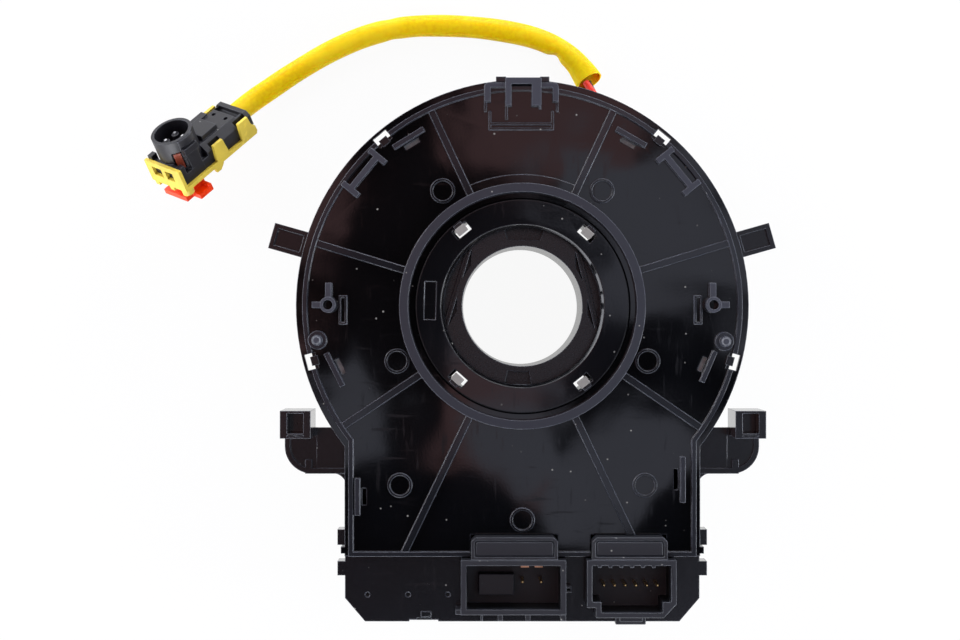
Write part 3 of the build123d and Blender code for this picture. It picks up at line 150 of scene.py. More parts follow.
def length(name, default, description):
    """A size that is given in millimetres."""
    return FloatProperty(name=name, default=default * MM, min=0, subtype="DISTANCE", unit="LENGTH",
                         description=description)


def colour(name, default, description):
    """A base colour."""
    return FloatVectorProperty(name=name, default=default, size=3, min=0, max=1, subtype="COLOR",
                               description=description)


def share(name, default, description):
    """A number from 0 to 1."""
    return FloatProperty(name=name, default=default, min=0, max=1, subtype="FACTOR", description=description)


class LeadSizes(bpy.types.PropertyGroup):
    """Sizes of the sleeved lead and its two wires."""
    sleeve_width: length("Sleeve width", 5.5, "Width of the flattened sleeve")
    sleeve_height: length("Sleeve height", 4.5, "Height of the flattened sleeve")
    sleeve_wall: length("Sleeve wall", 0.35, "Thickness of the sleeve's wall at its open end")
    mouth_width: length("Mouth width", 6.9, "Width of the sleeve at its open end")
    mouth_height: length("Mouth height", 4.3, "Height of the sleeve at its open end")
    mouth_slant: length("Mouth slant", 2.6, "How much shorter the sleeve is above than below at its open end")
    fold_place: length("Fold", 12.4, "Where the sleeve is folded in, from its open end")
    kink_place: length("Kink", 56, "Where the sleeve is kinked, from its open end")
    fold_deep: length("Fold depth", 0.95, "How far the sleeve's width is drawn in at the fold")
    sleeve_real_length: length("Sleeve length", 100.5, "Real length of the sleeve")
    mouth_depth: length("Mouth depth", 12, "How far the sleeve is open behind its mouth")
    wire_width: length("Wire width", 1.7, "Diameter of each insulated wire")


class EdgeSizes(bpy.types.PropertyGroup):
    """How far the moulded edges are rounded."""
    case_edge: length("Case edge", 0.28, "Edge rounding of the case")
    cover_edge: length("Cover edge", 0.32, "Edge rounding of the cover")
    socket_edge: length("Socket edge", 0.22, "Edge rounding of the sockets")
    hub_edge: length("Hub edge", 0.26, "Edge rounding of the hub and its ring")
    plug_edge: length("Plug edge", 0.12, "Edge rounding of the airbag plug")
    edge_angle: FloatProperty(name="Edge angle", default=radians(32), subtype="ANGLE", unit="ROTATION",
                              description="Edges sharper than this are rounded")


class PinSizes(bpy.types.PropertyGroup):
    """Sizes of the sockets' square pins."""
    pin_width: length("Pin width", 0.64, "Width of the square pins")
    tip_length: length("Tip length", 0.8, "Length of the pins' tapered tips")
    tip_share: share("Tip share", 0.45, "Width of a tip's end against the pin's width")
    switch_columns: IntProperty(name="Switch pins", default=6, min=1, description="Pins of the switch socket")
    wheel_columns: IntProperty(name="Wheel pins", default=8, min=1,
                               description="Pins in a row of the wheel socket")
    pitch: length("Pin pitch", 2.54, "Distance between neighbouring pins")
    airbag_pitch: length("Airbag pin pitch", 4.4, "Distance between the airbag socket's two pins")


class HookSizes(bpy.types.PropertyGroup):
    """Sizes of the snap hooks' tips in the ring's windows."""
    count: IntProperty(name="Hooks", default=4, min=1, description="Hooks round the bore")
    nose_radius: length("Nose radius", 23.25, "Distance of the tips' middle from the bore's axis")
    nose_spread: FloatProperty(name="Nose spread", default=radians(4.8), subtype="ANGLE", unit="ROTATION",
                               description="How far the tips stand off the diagonals")
    hub_turn: FloatProperty(name="Hub turn", default=radians(-1.5), subtype="ANGLE", unit="ROTATION",
                            description="How far the hub stands turned about the bore")
    nose_width: length("Nose width", 1.9, "Size of a tip away from the axis")
    nose_length: length("Nose length", 2.7, "Size of a tip round the axis")
    nose_height: length("Nose height", 2.6, "Height of a tip")
    nose_stand: length("Nose stand", 1.5, "How far a tip stands over the ring")
    nose_round: length("Nose rounding", 0.2, "Rounding of a tip's edges")


class FinishColours(bpy.types.PropertyGroup):
    """Base colours of the finishes."""
    case_black: colour("Case", (0.0022, 0.0022, 0.0027), "Glossy black of the case")
    cover_black: colour("Cover", (0.0013, 0.0013, 0.0016), "Polished black of the cover")
    socket_black: colour("Sockets", (0.0055, 0.006, 0.008), "Matt black of the sockets")
    hub_black: colour("Hub", (0.0024, 0.0025, 0.003), "Black of the hub")
    carrier_grey: colour("Carriers", (0.1, 0.1, 0.1), "Grey of the ribbon carriers")
    ribbon_brown: colour("Ribbon", (0.55, 0.32, 0.12), "Film of the flat cables")
    film_white: colour("Slip film", (0.8, 0.8, 0.78), "Slip sheets")
    gold: colour("Gold pins", (0.9, 0.66, 0.3), "Plated pins")
    copper: colour("Copper", (0.72, 0.4, 0.24), "Shorting blades")
    tin: colour("Tin", (0.78, 0.78, 0.8), "Contacts of the plug")
    wire_red: colour("Red wire", (0.75, 0.03, 0.012), "Insulation of the red wire")
    wire_black: colour("Black wire", (0.02, 0.02, 0.022), "Insulation of the black wire")
    sleeve_yellow: colour("Sleeve", (0.72, 0.51, 0.0), "Yellow of the sleeve")
    plug_black: colour("Plug", (0.0065, 0.0075, 0.0105), "Satin black of the plug")
    frame_yellow: colour("Lock frame", (0.7, 0.53, 0.06), "Yellow of the lock frame")
    lock_orange: colour("Lock tab", (1.0, 0.05, 0.0), "Orange of the lock tab")
    clip_brown: colour("Shorting clip", (0.3, 0.05, 0.02), "Brown-red of the clip in the plug")


class StageSettings(bpy.types.PropertyGroup):
    """Floor, lamps and camera."""
    floor_size: FloatProperty(name="Floor size", default=6, subtype="DISTANCE", unit="LENGTH",
                              description="Side of the square floor")
    floor_white: share("Floor white", 0.8, "Albedo of the floor")
    floor_plain: share("Plain share", 0.93, "How much of the floor's look is its own plain white")
    lamp_power: FloatProperty(name="Lamp power", default=2.4, min=0, unit="POWER",
                              description="What the power of each lamp is a share of")
    camera_height: length("Camera height", 658, "Height of the camera above the floor")
    camera_x: FloatProperty(name="Camera X", default=-10.1 * MM, subtype="DISTANCE", unit="LENGTH",
                            description="Where the camera stands across the part")
    camera_y: FloatProperty(name="Camera Y", default=-3.3 * MM, subtype="DISTANCE", unit="LENGTH",
                            description="Where the camera stands along the part")
    camera_lens: FloatProperty(name="Lens", default=97.5, min=1, unit="CAMERA",
                               description="Focal length on a 36 mm sensor")


class Field:
    """A number that varies over a surface; sums and products of it add Math nodes."""

    def __init__(self, finish, socket):
        self.finish, self.socket = finish, socket

    def _math(self, operation, *values):
        return self.finish.add("ShaderNodeMath", {"operation": operation}, dict(enumerate(values)))

    def __add__(self, other):
        return self._math("ADD", self, other)

    def __sub__(self, other):
        return self._math("SUBTRACT", self, other)

    def __mul__(self, other):
        return self._math("MULTIPLY", self, other)

    def __rsub__(self, other):
        return self._math("SUBTRACT", other, self)

    __radd__ = __add__
    __rmul__ = __mul__

    def above(self, edge, soft):
        """0 below edge and 1 above it, over the width soft."""
        return self.finish.add("ShaderNodeMapRange", {"interpolation_type": "SMOOTHSTEP"},
                               {"Value": self, "From Min": edge - soft / 2, "From Max": edge + soft / 2},
                               "Result")


class Finish:
    """The shader tree of a material, or of the world, being made."""

    def __init__(self, owner, place="Object"):
        owner.use_nodes = True
        self.owner, self.tree = owner, owner.node_tree
        self.tree.nodes.clear()
        self.place = self.add("ShaderNodeTexCoord", {}, {}, place)

    def add(self, kind, settings, values, output=0):
        """Adds a node: its settings first, then the values or links of its sockets."""
        node = self.tree.nodes.new(kind)
        for key, value in settings.items():
            setattr(node, key, value)
        for key, value in values.items():
            socket = node.inputs[key]
            if isinstance(value, Field):
                self.tree.links.new(value.socket, socket)
            elif hasattr(value, "__len__") and socket.type == "RGBA":
                socket.default_value = (*value, 1)
            else:
                socket.default_value = value
        return Field(self, node.outputs[output])

    def part(self, field, name):
        """Another output of the node that a field comes from."""
        return Field(self, field.socket.node.outputs[name])

    def noise(self, scale, detail=2.0, stretch=None, roughness=0.5):
        """Soft noise with that many cells in a metre."""
        place = self.place
        if stretch:
            place = self.add("ShaderNodeMapping", {}, {"Vector": place, "Scale": stretch})
        return self.add("ShaderNodeTexNoise", {},
                        {"Vector": place, "Scale": scale, "Detail": detail, "Roughness": roughness})

    def specks(self, scale, radius):
        """Small round spots, one at most in each cell."""
        near = self.add("ShaderNodeTexVoronoi", {"feature": "F1"}, {"Vector": self.place, "Scale": scale})
        return 1 - near.above(radius, radius)

    def mix(self, factor, first, second):
        """The first colour where factor is 0 and the second where it is 1."""
        return self.add("ShaderNodeMix", {"data_type": "RGBA"}, {0: factor, 6: first, 7: second}, 2)

    def bump(self, height, distance, normal=None):
        """The normal of a surface that a height raises, by distance where the height is 1."""
        values = {"Height": height, "Distance": distance}
        if normal:
            values["Normal"] = normal
        return self.add("ShaderNodeBump", {}, values)

    def surface(self, **values):
        """Ends the material in one principled surface."""
        named = {key.replace("_", " ").title().replace("Ior", "IOR"): value
                 for key, value in values.items()}
        shader = self.add("ShaderNodeBsdfPrincipled", {}, named)
        return self.end(shader, "ShaderNodeOutputMaterial")

    def end(self, shader, kind):
        """Ends the tree in a shader and returns the material or world."""
        out = self.tree.nodes.new(kind)
        self.tree.links.new(shader.socket, out.inputs["Surface"])
        return self.owner


def new_finish(name):
    """The tree of a new material for one of the part's finishes."""
    return Finish(bpy.data.materials.new(PREFIX + name))


def moulding(name, base, gloss, grain_size, grain_depth, wave, wave_size, raised=None, edge=1.0):
    """Moulded black plastic: slow flow waves, fine grain, a painted reflection tint across it, painted edge
    highlights, scuffs and dust.

    Sizes are in millimetres. What stands higher than raised is satin, and painted paler and bluer as a
    painted sheen on the raised tops.
    """
    finish = new_finish(name)
    grain = finish.noise(1 / (grain_size * MM), 3, roughness=0.6)
    waves = finish.noise(1 / (wave_size * MM), 1.5, roughness=0.35)
    streaks = finish.noise(STREAK_CELLS, 3, stretch=(1, 0.12, 1)).above(0.66, 0.12)
    cross = finish.noise(CROSS_STREAK_CELLS, 3, stretch=(0.14, 1, 1)).above(0.68, 0.12)
    cloud = finish.noise(CLOUD_CELLS, 3).above(0.5, 0.5)
    scuffs = (streaks + cross) * cloud * SCUFF_SHARE
    dust = finish.specks(DUST_CELLS, DUST_RADIUS) * finish.noise(DUST_CLOUD_CELLS, 1).above(0.54, 0.08)
    place = finish.add("ShaderNodeSeparateXYZ", {}, {"Vector": finish.place})
    across, along, up = (finish.part(place, axis) for axis in "XYZ")
    # Painted reflection: the black is painted warmer towards one corner of the part and bluer towards the
    # other, as reflections of the room tint it
    cool = (across * 9 - along * 7 + waves).above(0.5, 0.9)
    warm = [base[0] * 1.25, base[1] * 0.98, base[2] * 0.98]
    blue = [base[0] * 0.85, base[1], base[2] * 1.25]
    pale = [part * 2 + 0.003 for part in base]
    shade = finish.mix(cool, warm, blue)
    shade = finish.mix(cloud * 0.12 + scuffs * 0.5, shade, pale)
    rough = gloss + scuffs * 0.3 + grain * (gloss * 0.3)
    if raised:
        # Painted sheen: tops higher than raised are painted paler blue-grey, as they look lit
        high = up.above(raised * MM, RAISED_RANGE)
        shade = finish.mix(high, shade, RAISED_SHEEN_GREY)
        rough = rough + high * 0.25
    soft = finish.add("ShaderNodeBevel", {"samples": EDGE_SAMPLES}, {"Radius": EDGE_RADIUS})
    facing = finish.add("ShaderNodeNewGeometry", {}, {}, "True Normal")
    turned = finish.add("ShaderNodeVectorMath", {"operation": "DOT_PRODUCT"}, {0: soft, 1: facing}, "Value")
    uneven = finish.noise(WEAR_CELLS, 3).above(0.45, 0.4)
    # Painted highlight: rounded edges are painted paler blue-grey, as lit edges look, a little unevenly; edge
    # sets how strong it is
    painted_edge_highlight = (1 - turned).above(0.085, 0.13)
    shade = finish.mix(painted_edge_highlight * (uneven * 0.6 + 0.4) * edge, shade, EDGE_HIGHLIGHT_GREY)
    shade = finish.mix(dust * 0.7, shade, DUST_GREY)
    flow = finish.bump(waves, wave * MM, normal=soft)
    normal = finish.bump(grain, grain_depth * MM, normal=flow)
    return finish.surface(base_color=shade, roughness=rough + painted_edge_highlight * 0.1 + dust * 0.3, normal=normal)


def sleeve_plastic(name, base):
    """Satin yellow tube that light sinks into: deeper streaks along it, pale blotches and an uneven skin."""
    finish = new_finish(name)
    along = finish.add("ShaderNodeUVMap", {"uv_map": "along"}, {})
    streak_place = finish.add("ShaderNodeMapping", {}, {"Vector": along, "Scale": (14, 9, 1)})
    streaks = finish.add("ShaderNodeTexNoise", {}, {"Vector": streak_place, "Scale": 1, "Detail": 3})
    blotches = finish.noise(BLOTCH_CELLS, 2)
    deep = [base[0] * 0.93, base[1] * 0.84, base[2]]
    pale = [min(1, base[0] * 1.05), min(1, base[1] * 1.08), 0.01]
    shade = finish.mix(streaks.above(0.5, 0.3), deep, base)
    shade = finish.mix(blotches.above(0.56, 0.25) * 0.8, shade, pale)
    skin = finish.bump(finish.noise(SKIN_CELLS, 2), 0.05 * MM)
    return finish.surface(base_color=shade, roughness=0.34 + streaks * 0.12, normal=skin,
                          specular_ior_level=0.16, subsurface_weight=0.4, subsurface_scale=2 * MM)


def coloured_plastic(name, base, gloss):
    """A coloured moulding with a fine grain, slow tone changes and rubbed places."""
    finish = new_finish(name)
    grain = finish.noise(1 / COLOURED_GRAIN, 2)
    tone = finish.noise(TONE_CELLS, 3).above(0.5, 0.5)
    rubs = finish.noise(RUB_CELLS, 3, stretch=(1, 0.2, 1)).above(0.64, 0.1)
    deep = [part * 0.8 for part in base]
    pale = [min(1, part * 1.25 + 0.01) for part in base]
    shade = finish.mix(tone, deep, base)
    shade = finish.mix(rubs * 0.35, shade, pale)
    return finish.surface(base_color=shade, roughness=gloss + grain * 0.12 + rubs * 0.1,
                          normal=finish.bump(grain, COLOURED_GRAIN_DEPTH))


def metal(name, base, gloss):
    """Drawn or stamped metal: fine lines along the piece and a few dull places."""
    finish = new_finish(name)
    lines = finish.noise(DRAWN_LINE_CELLS, 2, stretch=(1, 1, 0.06))
    dull = finish.noise(DULL_CELLS, 2).above(0.55, 0.2)
    deep = [part * 0.7 for part in base]
    shade = finish.mix(dull * 0.6, base, deep)
    return finish.surface(base_color=shade, roughness=gloss + lines * 0.15 + dull * 0.15, metallic=1,
                          normal=finish.bump(lines, 0.003 * MM))


def film(name, base):
    """Thin laminated film with faint rolling lines."""
    finish = new_finish(name)
    lines = finish.noise(ROLLED_LINE_CELLS, 2, stretch=(1, 1, 0.1))
    deep = [part * 0.75 for part in base]
    shade = finish.mix(lines.above(0.5, 0.4), deep, base)
    return finish.surface(base_color=shade, roughness=0.4 + lines * 0.1,
                          normal=finish.bump(lines, 0.004 * MM))


def make_finishes():
    """Makes all materials, named after the record's slots."""
    tones = bpy.context.scene.clock_colours
    moulding("case_black", tones.case_black, gloss=0.12, grain_size=0.35, grain_depth=0.005, wave=0.08,
             wave_size=18)
    moulding("cover_black", tones.cover_black, gloss=0.035, grain_size=0.5, grain_depth=0.0008, wave=0.14,
             wave_size=24, raised=40.2)
    moulding("socket_black", tones.socket_black, gloss=0.36, grain_size=0.16, grain_depth=0.014, wave=0.03,
             wave_size=14, edge=0.8)
    moulding("hub_black", tones.hub_black, gloss=0.24, grain_size=0.3, grain_depth=0.01, wave=0.04,
             wave_size=16)
    moulding("plug_black", tones.plug_black, gloss=0.34, grain_size=0.14, grain_depth=0.012, wave=0.02,
             wave_size=8, edge=0.5)
    coloured_plastic("hook_grey", HOOK_GREY, 0.32)
    coloured_plastic("carrier_grey", tones.carrier_grey, 0.5)
    coloured_plastic("frame_yellow", tones.frame_yellow, 0.38)
    coloured_plastic("lock_orange", tones.lock_orange, 0.3)
    coloured_plastic("clip_brown", tones.clip_brown, 0.4)
    coloured_plastic("wire_red", tones.wire_red, 0.3)
    coloured_plastic("wire_black", tones.wire_black, 0.3)
    film("ribbon_film", tones.ribbon_brown)
    film("slip_film", tones.film_white)
    metal("pin_gold", tones.gold, 0.2)
    metal("blade_copper", tones.copper, 0.25)
    metal("pin_tin", tones.tin, 0.22)
    sleeve_plastic("sleeve_yellow", tones.sleeve_yellow)


def finish_named(name):
    """The material of that slot, made with all the others when the first is asked for."""
    if PREFIX + name not in bpy.data.materials:
        make_finishes()
    return bpy.data.materials[PREFIX + name]


def add_piece(name, mesh, body, finish, *nodes):
    """A finished mesh as a piece of the part: its material, its body and the nodes it stands for.
    """
    piece = bpy.data.objects.new(name, mesh)
    bpy.context.scene.collection.objects.link(piece)
    mesh.materials.clear()
    mesh.materials.append(finish_named(finish))
    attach(piece, body)
    finish in SLOTS.values()
    if nodes:
        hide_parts(*nodes)
    return piece


def paint(*nodes):
    """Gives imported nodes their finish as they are."""
    for node in nodes:
        mesh = frame["nodes"][node].data
        mesh.materials.clear()
        mesh.materials.append(finish_named(SLOTS[node]))


def evaluated_mesh(piece):
    """A plain mesh of an object with its modifiers applied."""
    graph = bpy.context.evaluated_depsgraph_get()
    graph.update()
    return bpy.data.meshes.new_from_object(piece.evaluated_get(graph), depsgraph=graph)


def round_edges(node, width):
    """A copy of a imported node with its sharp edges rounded, which stands for the node."""
    edge_angle = bpy.context.scene.clock_edges.edge_angle
    form = bmesh.new()
    form.from_mesh(frame["nodes"][node].data)
    bmesh.ops.remove_doubles(form, verts=form.verts, dist=WELD)
    bmesh.ops.dissolve_limit(form, angle_limit=radians(0.4), verts=form.verts, edges=form.edges)
    mesh = bpy.data.meshes.new(node + "_form")
    form.to_mesh(mesh)
    form.free()
    draft = bpy.data.objects.new(node + "_draft", mesh)
    bpy.context.scene.collection.objects.link(draft)
    bevel = draft.modifiers.new("rounded edges", "BEVEL")
    bevel.width = width
    bevel.segments = EDGE_STEPS
    bevel.limit_method = "ANGLE"
    bevel.angle_limit = edge_angle
    bevel.miter_outer = "MITER_ARC"
    flat = draft.modifiers.new("flat faces stay flat", "WEIGHTED_NORMAL")
    flat.mode = "FACE_AREA"
    flat.weight = 100
    flat.keep_sharp = True
    for face in mesh.polygons:
        face.use_smooth = True
    mesh.set_sharp_from_angle(angle=edge_angle)
    rounded = evaluated_mesh(draft)
    rounded.name = node + "_rounded"
    bpy.data.objects.remove(draft)
    return add_piece(node + "_skin", rounded, BODIES[node], SLOTS[node], node)


def route_line(name, route):
    """The smooth line through a route's control points, as places."""
    curve = bpy.data.curves.new(name, "CURVE")
    curve.dimensions = "3D"
    curve.resolution_u = CURVE_STEPS
    spline = curve.splines.new("NURBS")
    spline.points.add(len(route) - 1)
    for point, place in zip(spline.points, route):
        point.co = (*place, 1)
    spline.order_u = 3
    spline.use_endpoint_u = True
    holder = bpy.data.objects.new(name, curve)
    bpy.context.scene.collection.objects.link(holder)
    bpy.context.view_layer.update()
    line = bpy.data.meshes.new_from_object(holder)
    places = [vert.co.copy() for vert in line.vertices]
    bpy.data.objects.remove(holder)
    return places


class Route:
    """A smooth line with its travelled length, and its place and directions at any distance."""

    def __init__(self, name, points):
        self.places = route_line(name, points)
        self.travelled = [0.0]
        for first, second in zip(self.places, self.places[1:]):
            self.travelled.append(self.travelled[-1] + (second - first).length)

    def at(self, distance):
        """The place there, the level direction across it and the direction that rises from it."""
        number = 1
        while number < len(self.places) - 1 and self.travelled[number] < distance:
            number += 1
        low, high = self.travelled[number - 1], self.travelled[number]
        place = self.places[number - 1].lerp(self.places[number], (distance - low) / (high - low))
        before, after = self.places[max(number - 2, 0)], self.places[min(number + 1, len(self.places) - 1)]
        ahead = (after - before).normalized()
        across = ahead.cross(UP).normalized()
        return place, across, across.cross(ahead).normalized()


def plain_section(width, height):
    """A section that is the same ellipse all along a tube."""
    def section(distance, angle):
        return width / 2 * cos(angle), height / 2 * sin(angle), distance
    return section


def tube_mesh(name, route, section, step, sides, wall=0.0, mouth=0.0):
    """A tube along a route. With a wall it is open at its start, down to mouth behind it.

    The section gives, at a distance and an angle, how far the skin lies across and above the line, and
    at which distance.
    """
    form = bmesh.new()
    uv = form.loops.layers.uv.new("along")
    total = route.travelled[-1]
    count = max(2, round(total / step))
    stops = [total * number / count for number in range(count + 1)]

    def ring(distance, less):
        verts = []
        for side in range(sides):
            angle = 2 * pi * side / sides
            wide, high, there = section(distance, angle)
            place, across, rise = route.at(there)
            inwards = Vector((wide, high)).normalized() * less
            verts.append(form.verts.new(place + across * (wide - inwards.x) + rise * (high - inwards.y)))
        return verts

    def join(first, second, low, high):
        for side in range(sides):
            after = (side + 1) % sides
            face = form.faces.new((first[side], first[after], second[after], second[side]))
            face.smooth = True
            corners_there = ((side, low), (side + 1, low), (side + 1, high), (side, high))
            for loop, (turn, place) in zip(face.loops, corners_there):
                loop[uv].uv = (turn / sides, place / (10 * MM))

    outer = [ring(stop, 0) for stop in stops]
    for number in range(count):
        join(outer[number], outer[number + 1], stops[number], stops[number + 1])
    form.faces.new(outer[-1])
    if wall:
        inner = [ring(stop, wall) for stop in stops if stop <= mouth]
        join(inner[0], outer[0], 0, 0)
        for number in range(len(inner) - 1):
            join(inner[number + 1], inner[number], stops[number + 1], stops[number])
        form.faces.new(inner[-1])
    else:
        form.faces.new(list(reversed(outer[0])))
    bmesh.ops.recalc_face_normals(form, faces=form.faces)
    mesh = bpy.data.meshes.new(name)
    form.to_mesh(mesh)
    form.free()
    return mesh


class NodeTree:
    """A geometry node tree with named inputs, which makes meshes."""
    inputs = ()

    def __init__(self, name):
        self.tree = bpy.data.node_groups.new(name, "GeometryNodeTree")
        self.sockets = {}
        self.tree.interface.new_socket("Geometry", in_out="OUTPUT", socket_type="NodeSocketGeometry")
        for label, kind in self.inputs:
            socket = self.tree.interface.new_socket(label, in_out="INPUT", socket_type="NodeSocket" + kind)
            self.sockets[label] = socket.identifier
        self.build(self.tree.nodes.new("NodeGroupInput").outputs)

    def add(self, kind, settings, values, output=0):
        """Adds a node and returns one of its outputs."""
        node = self.tree.nodes.new(kind)
        for key, value in settings.items():
            setattr(node, key, value)
        for key, value in values.items():
            socket = node.inputs[key]
            if isinstance(value, bpy.types.NodeSocket):
                self.tree.links.new(value, socket)
            else:
                socket.default_value = value
        return node.outputs[output]

    def end(self, geometry, material):
        """Makes the instances real, gives them their finish and ends the tree."""
        solid = self.add("GeometryNodeRealizeInstances", {}, {"Geometry": geometry})
        done = self.add("GeometryNodeSetMaterial", {}, {"Geometry": solid, "Material": material})
        out = self.tree.nodes.new("NodeGroupOutput")
        self.tree.links.new(done, out.inputs["Geometry"])

    def mesh(self, name, values, rounding=0.0):
        """The tree's result for these inputs as a plain mesh, with its edges rounded."""
        draft = bpy.data.objects.new(name + "_draft", bpy.data.meshes.new(name + "_draft"))
        bpy.context.scene.collection.objects.link(draft)
        maker = draft.modifiers.new("made by nodes", "NODES")
        maker.node_group = self.tree
        for label, value in values.items():
            maker[self.sockets[label]] = value
        if rounding:
            bevel = draft.modifiers.new("rounded edges", "BEVEL")
            bevel.width = rounding
            bevel.segments = NOSE_STEPS
        mesh = evaluated_mesh(draft)
        bpy.data.objects.remove(draft)
        if not mesh.polygons:
            raise RuntimeError("nothing was made for " + name)
        mesh.name = name
        return mesh


class PinTree(NodeTree):
    """The node tree that stands square pins with tapered tips in rows."""
    inputs = (("Columns", "Int"), ("Rows", "Int"), ("Pitch", "Float"), ("Width", "Float"), ("Shaft", "Float"),
              ("Tip", "Float"), ("Tip share", "Float"), ("Lean", "Rotation"), ("Place", "Vector"),
              ("Turn", "Rotation"), ("Finish", "Material"))

    def line(self, count, step):
        """Points in a line about the middle."""
        spare = self.add("ShaderNodeMath", {"operation": "SUBTRACT"}, {0: count, 1: 1.0})
        half = self.add("ShaderNodeMath", {"operation": "MULTIPLY"}, {0: spare, 1: -0.5})
        start = self.add("ShaderNodeVectorMath", {"operation": "SCALE"}, {0: step, "Scale": half})
        return self.add("GeometryNodeMeshLine", {"mode": "OFFSET"},
                        {"Count": count, "Start Location": start, "Offset": step})

    def grow(self, mesh, way, how_far):
        """Draws a mesh's end face out; returns the mesh and the new end."""
        mesh = self.add("GeometryNodeExtrudeMesh", {"mode": "FACES"},
                        {"Mesh": mesh, "Selection": way, "Offset Scale": how_far})
        return mesh, mesh.node.outputs["Top"]

    def build(self, given):
        foot = self.add("GeometryNodeMeshGrid", {}, {"Size X": given["Width"], "Size Y": given["Width"],
                                                     "Vertices X": 2, "Vertices Y": 2})
        pin, end = self.grow(foot, True, given["Shaft"])
        pin, end = self.grow(pin, end, given["Tip"])
        pin = self.add("GeometryNodeScaleElements", {}, {"Geometry": pin, "Selection": end,
                                                         "Scale": given["Tip share"]})
        under = self.add("GeometryNodeFlipFaces", {}, {"Mesh": foot})
        pin = self.add("GeometryNodeJoinGeometry", {}, {"Geometry": pin})
        self.tree.links.new(under, pin.node.inputs["Geometry"])
        pin = self.add("GeometryNodeMergeByDistance", {}, {"Geometry": pin, "Distance": PIN_WELD})
        across = self.add("ShaderNodeCombineXYZ", {}, {"X": given["Pitch"]})
        along = self.add("ShaderNodeCombineXYZ", {}, {"Y": given["Pitch"]})
        row = self.line(given["Columns"], across)
        rows = self.add("GeometryNodeInstanceOnPoints", {},
                        {"Points": self.line(given["Rows"], along), "Instance": row})
        points = self.add("GeometryNodeRealizeInstances", {}, {"Geometry": rows})
        pins = self.add("GeometryNodeInstanceOnPoints", {},
                        {"Points": points, "Instance": pin, "Rotation": given["Lean"]})
        placed = self.add("GeometryNodeTransform", {}, {"Geometry": pins, "Translation": given["Place"],
                                                        "Rotation": given["Turn"]})
        self.end(placed, given["Finish"])


class HookTree(NodeTree):
    """The node tree that stands blocks round the bore, in pairs a little off the diagonals."""
    inputs = (("Count", "Int"), ("Radius", "Float"), ("Spread", "Float"), ("Turn", "Float"),
              ("Size", "Vector"), ("Middle height", "Float"), ("Finish", "Material"))

    def build(self, given):
        number = self.add("GeometryNodeInputIndex", {}, {})
        half_turns = self.add("ShaderNodeMath", {"operation": "MULTIPLY"}, {0: number, 1: pi})
        side = self.add("ShaderNodeMath", {"operation": "COSINE"}, {0: half_turns})
        off = self.add("ShaderNodeMath", {"operation": "MULTIPLY"}, {0: side, 1: given["Spread"]})
        quarter = self.add("ShaderNodeMath", {"operation": "MULTIPLY"}, {0: number, 1: pi / 2})
        start = self.add("ShaderNodeMath", {"operation": "ADD"}, {0: given["Turn"], 1: pi / 4})
        even = self.add("ShaderNodeMath", {"operation": "ADD"}, {0: quarter, 1: start})
        angle = self.add("ShaderNodeMath", {"operation": "ADD"}, {0: even, 1: off})
        turn = self.add("ShaderNodeCombineXYZ", {}, {"Z": angle})
        out = self.add("ShaderNodeCombineXYZ", {}, {"X": given["Radius"], "Z": given["Middle height"]})
        place = self.add("ShaderNodeVectorRotate", {"rotation_type": "EULER_XYZ"},
                         {"Vector": out, "Rotation": turn})
        points = self.add("GeometryNodePoints", {}, {"Count": given["Count"], "Position": place})
        block = self.add("GeometryNodeMeshCube", {}, {"Size": given["Size"]})
        blocks = self.add("GeometryNodeInstanceOnPoints", {},
                          {"Points": points, "Instance": block, "Rotation": turn})
        self.end(blocks, given["Finish"])


def ring_noses(tree):
    """The tips of the hub's four snap hooks, which fill most of the ring's windows."""
    sizes = bpy.context.scene.clock_hooks
    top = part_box("hub_ring")[1][2] + sizes.nose_stand
    bottom = top - sizes.nose_height
    mesh = tree.mesh("ring_noses", {
        "Count": sizes.count, "Radius": sizes.nose_radius, "Spread": sizes.nose_spread,
        "Turn": sizes.hub_turn, "Size": (sizes.nose_width, sizes.nose_length, sizes.nose_height),
        "Middle height": (top + bottom) / 2, "Finish": finish_named("hook_grey"),
    }, sizes.nose_round)
    return add_piece("ring_noses", mesh, BODIES["rotor"], "hook_grey")


def pin_rows(tree, node, columns, rows, pitch, mouth_up, turn=0.0):
    """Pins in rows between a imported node's lowest and highest places, which stand for the node."""
    sizes = bpy.context.scene.clock_pins
    low, high = (Vector(corner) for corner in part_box(node))
    middle = (low + high) / 2
    middle.z = low.z if mouth_up else high.z
    values = {
        "Columns": columns, "Rows": rows, "Pitch": pitch, "Width": sizes.pin_width,
        "Shaft": high.z - low.z - sizes.tip_length, "Tip": sizes.tip_length, "Tip share": sizes.tip_share,
        "Lean": (0 if mouth_up else pi, 0, 0), "Place": middle, "Turn": (0, 0, turn),
        "Finish": finish_named(SLOTS[node]),
    }
    mesh = tree.mesh(node + "_rows", values)
    return add_piece(node + "_set", mesh, BODIES[node], SLOTS[node], node)


class CLOCK_OT_camera(bpy.types.Operator):
    """Stand the camera over the cover side"""
    bl_idname = "clock_spring.camera"
    bl_label = "Camera"

    def execute(self, context):
        stage = context.scene.clock_stage
        data = bpy.data.cameras.new("camera")
        data.sensor_width = CAMERA_SENSOR
        data.lens = stage.camera_lens
        data.clip_start, data.clip_end = CAMERA_NEAR, CAMERA_FAR
        camera = bpy.data.objects.new("camera", data)
        camera.location = (stage.camera_x, stage.camera_y, stage.camera_height)
        context.scene.collection.objects.link(camera)
        context.scene.camera = camera
        return {"FINISHED"}


class CLOCK_OT_plug(bpy.types.Operator):
    """Dress the airbag plug"""
    bl_idname = "clock_spring.plug"
    bl_label = "Airbag plug"

    def execute(self, context):
        for node in PLUG_MOULDINGS:
            round_edges(node, context.scene.clock_edges.plug_edge)
        paint(*PLUG_SMALL)
        return {"FINISHED"}


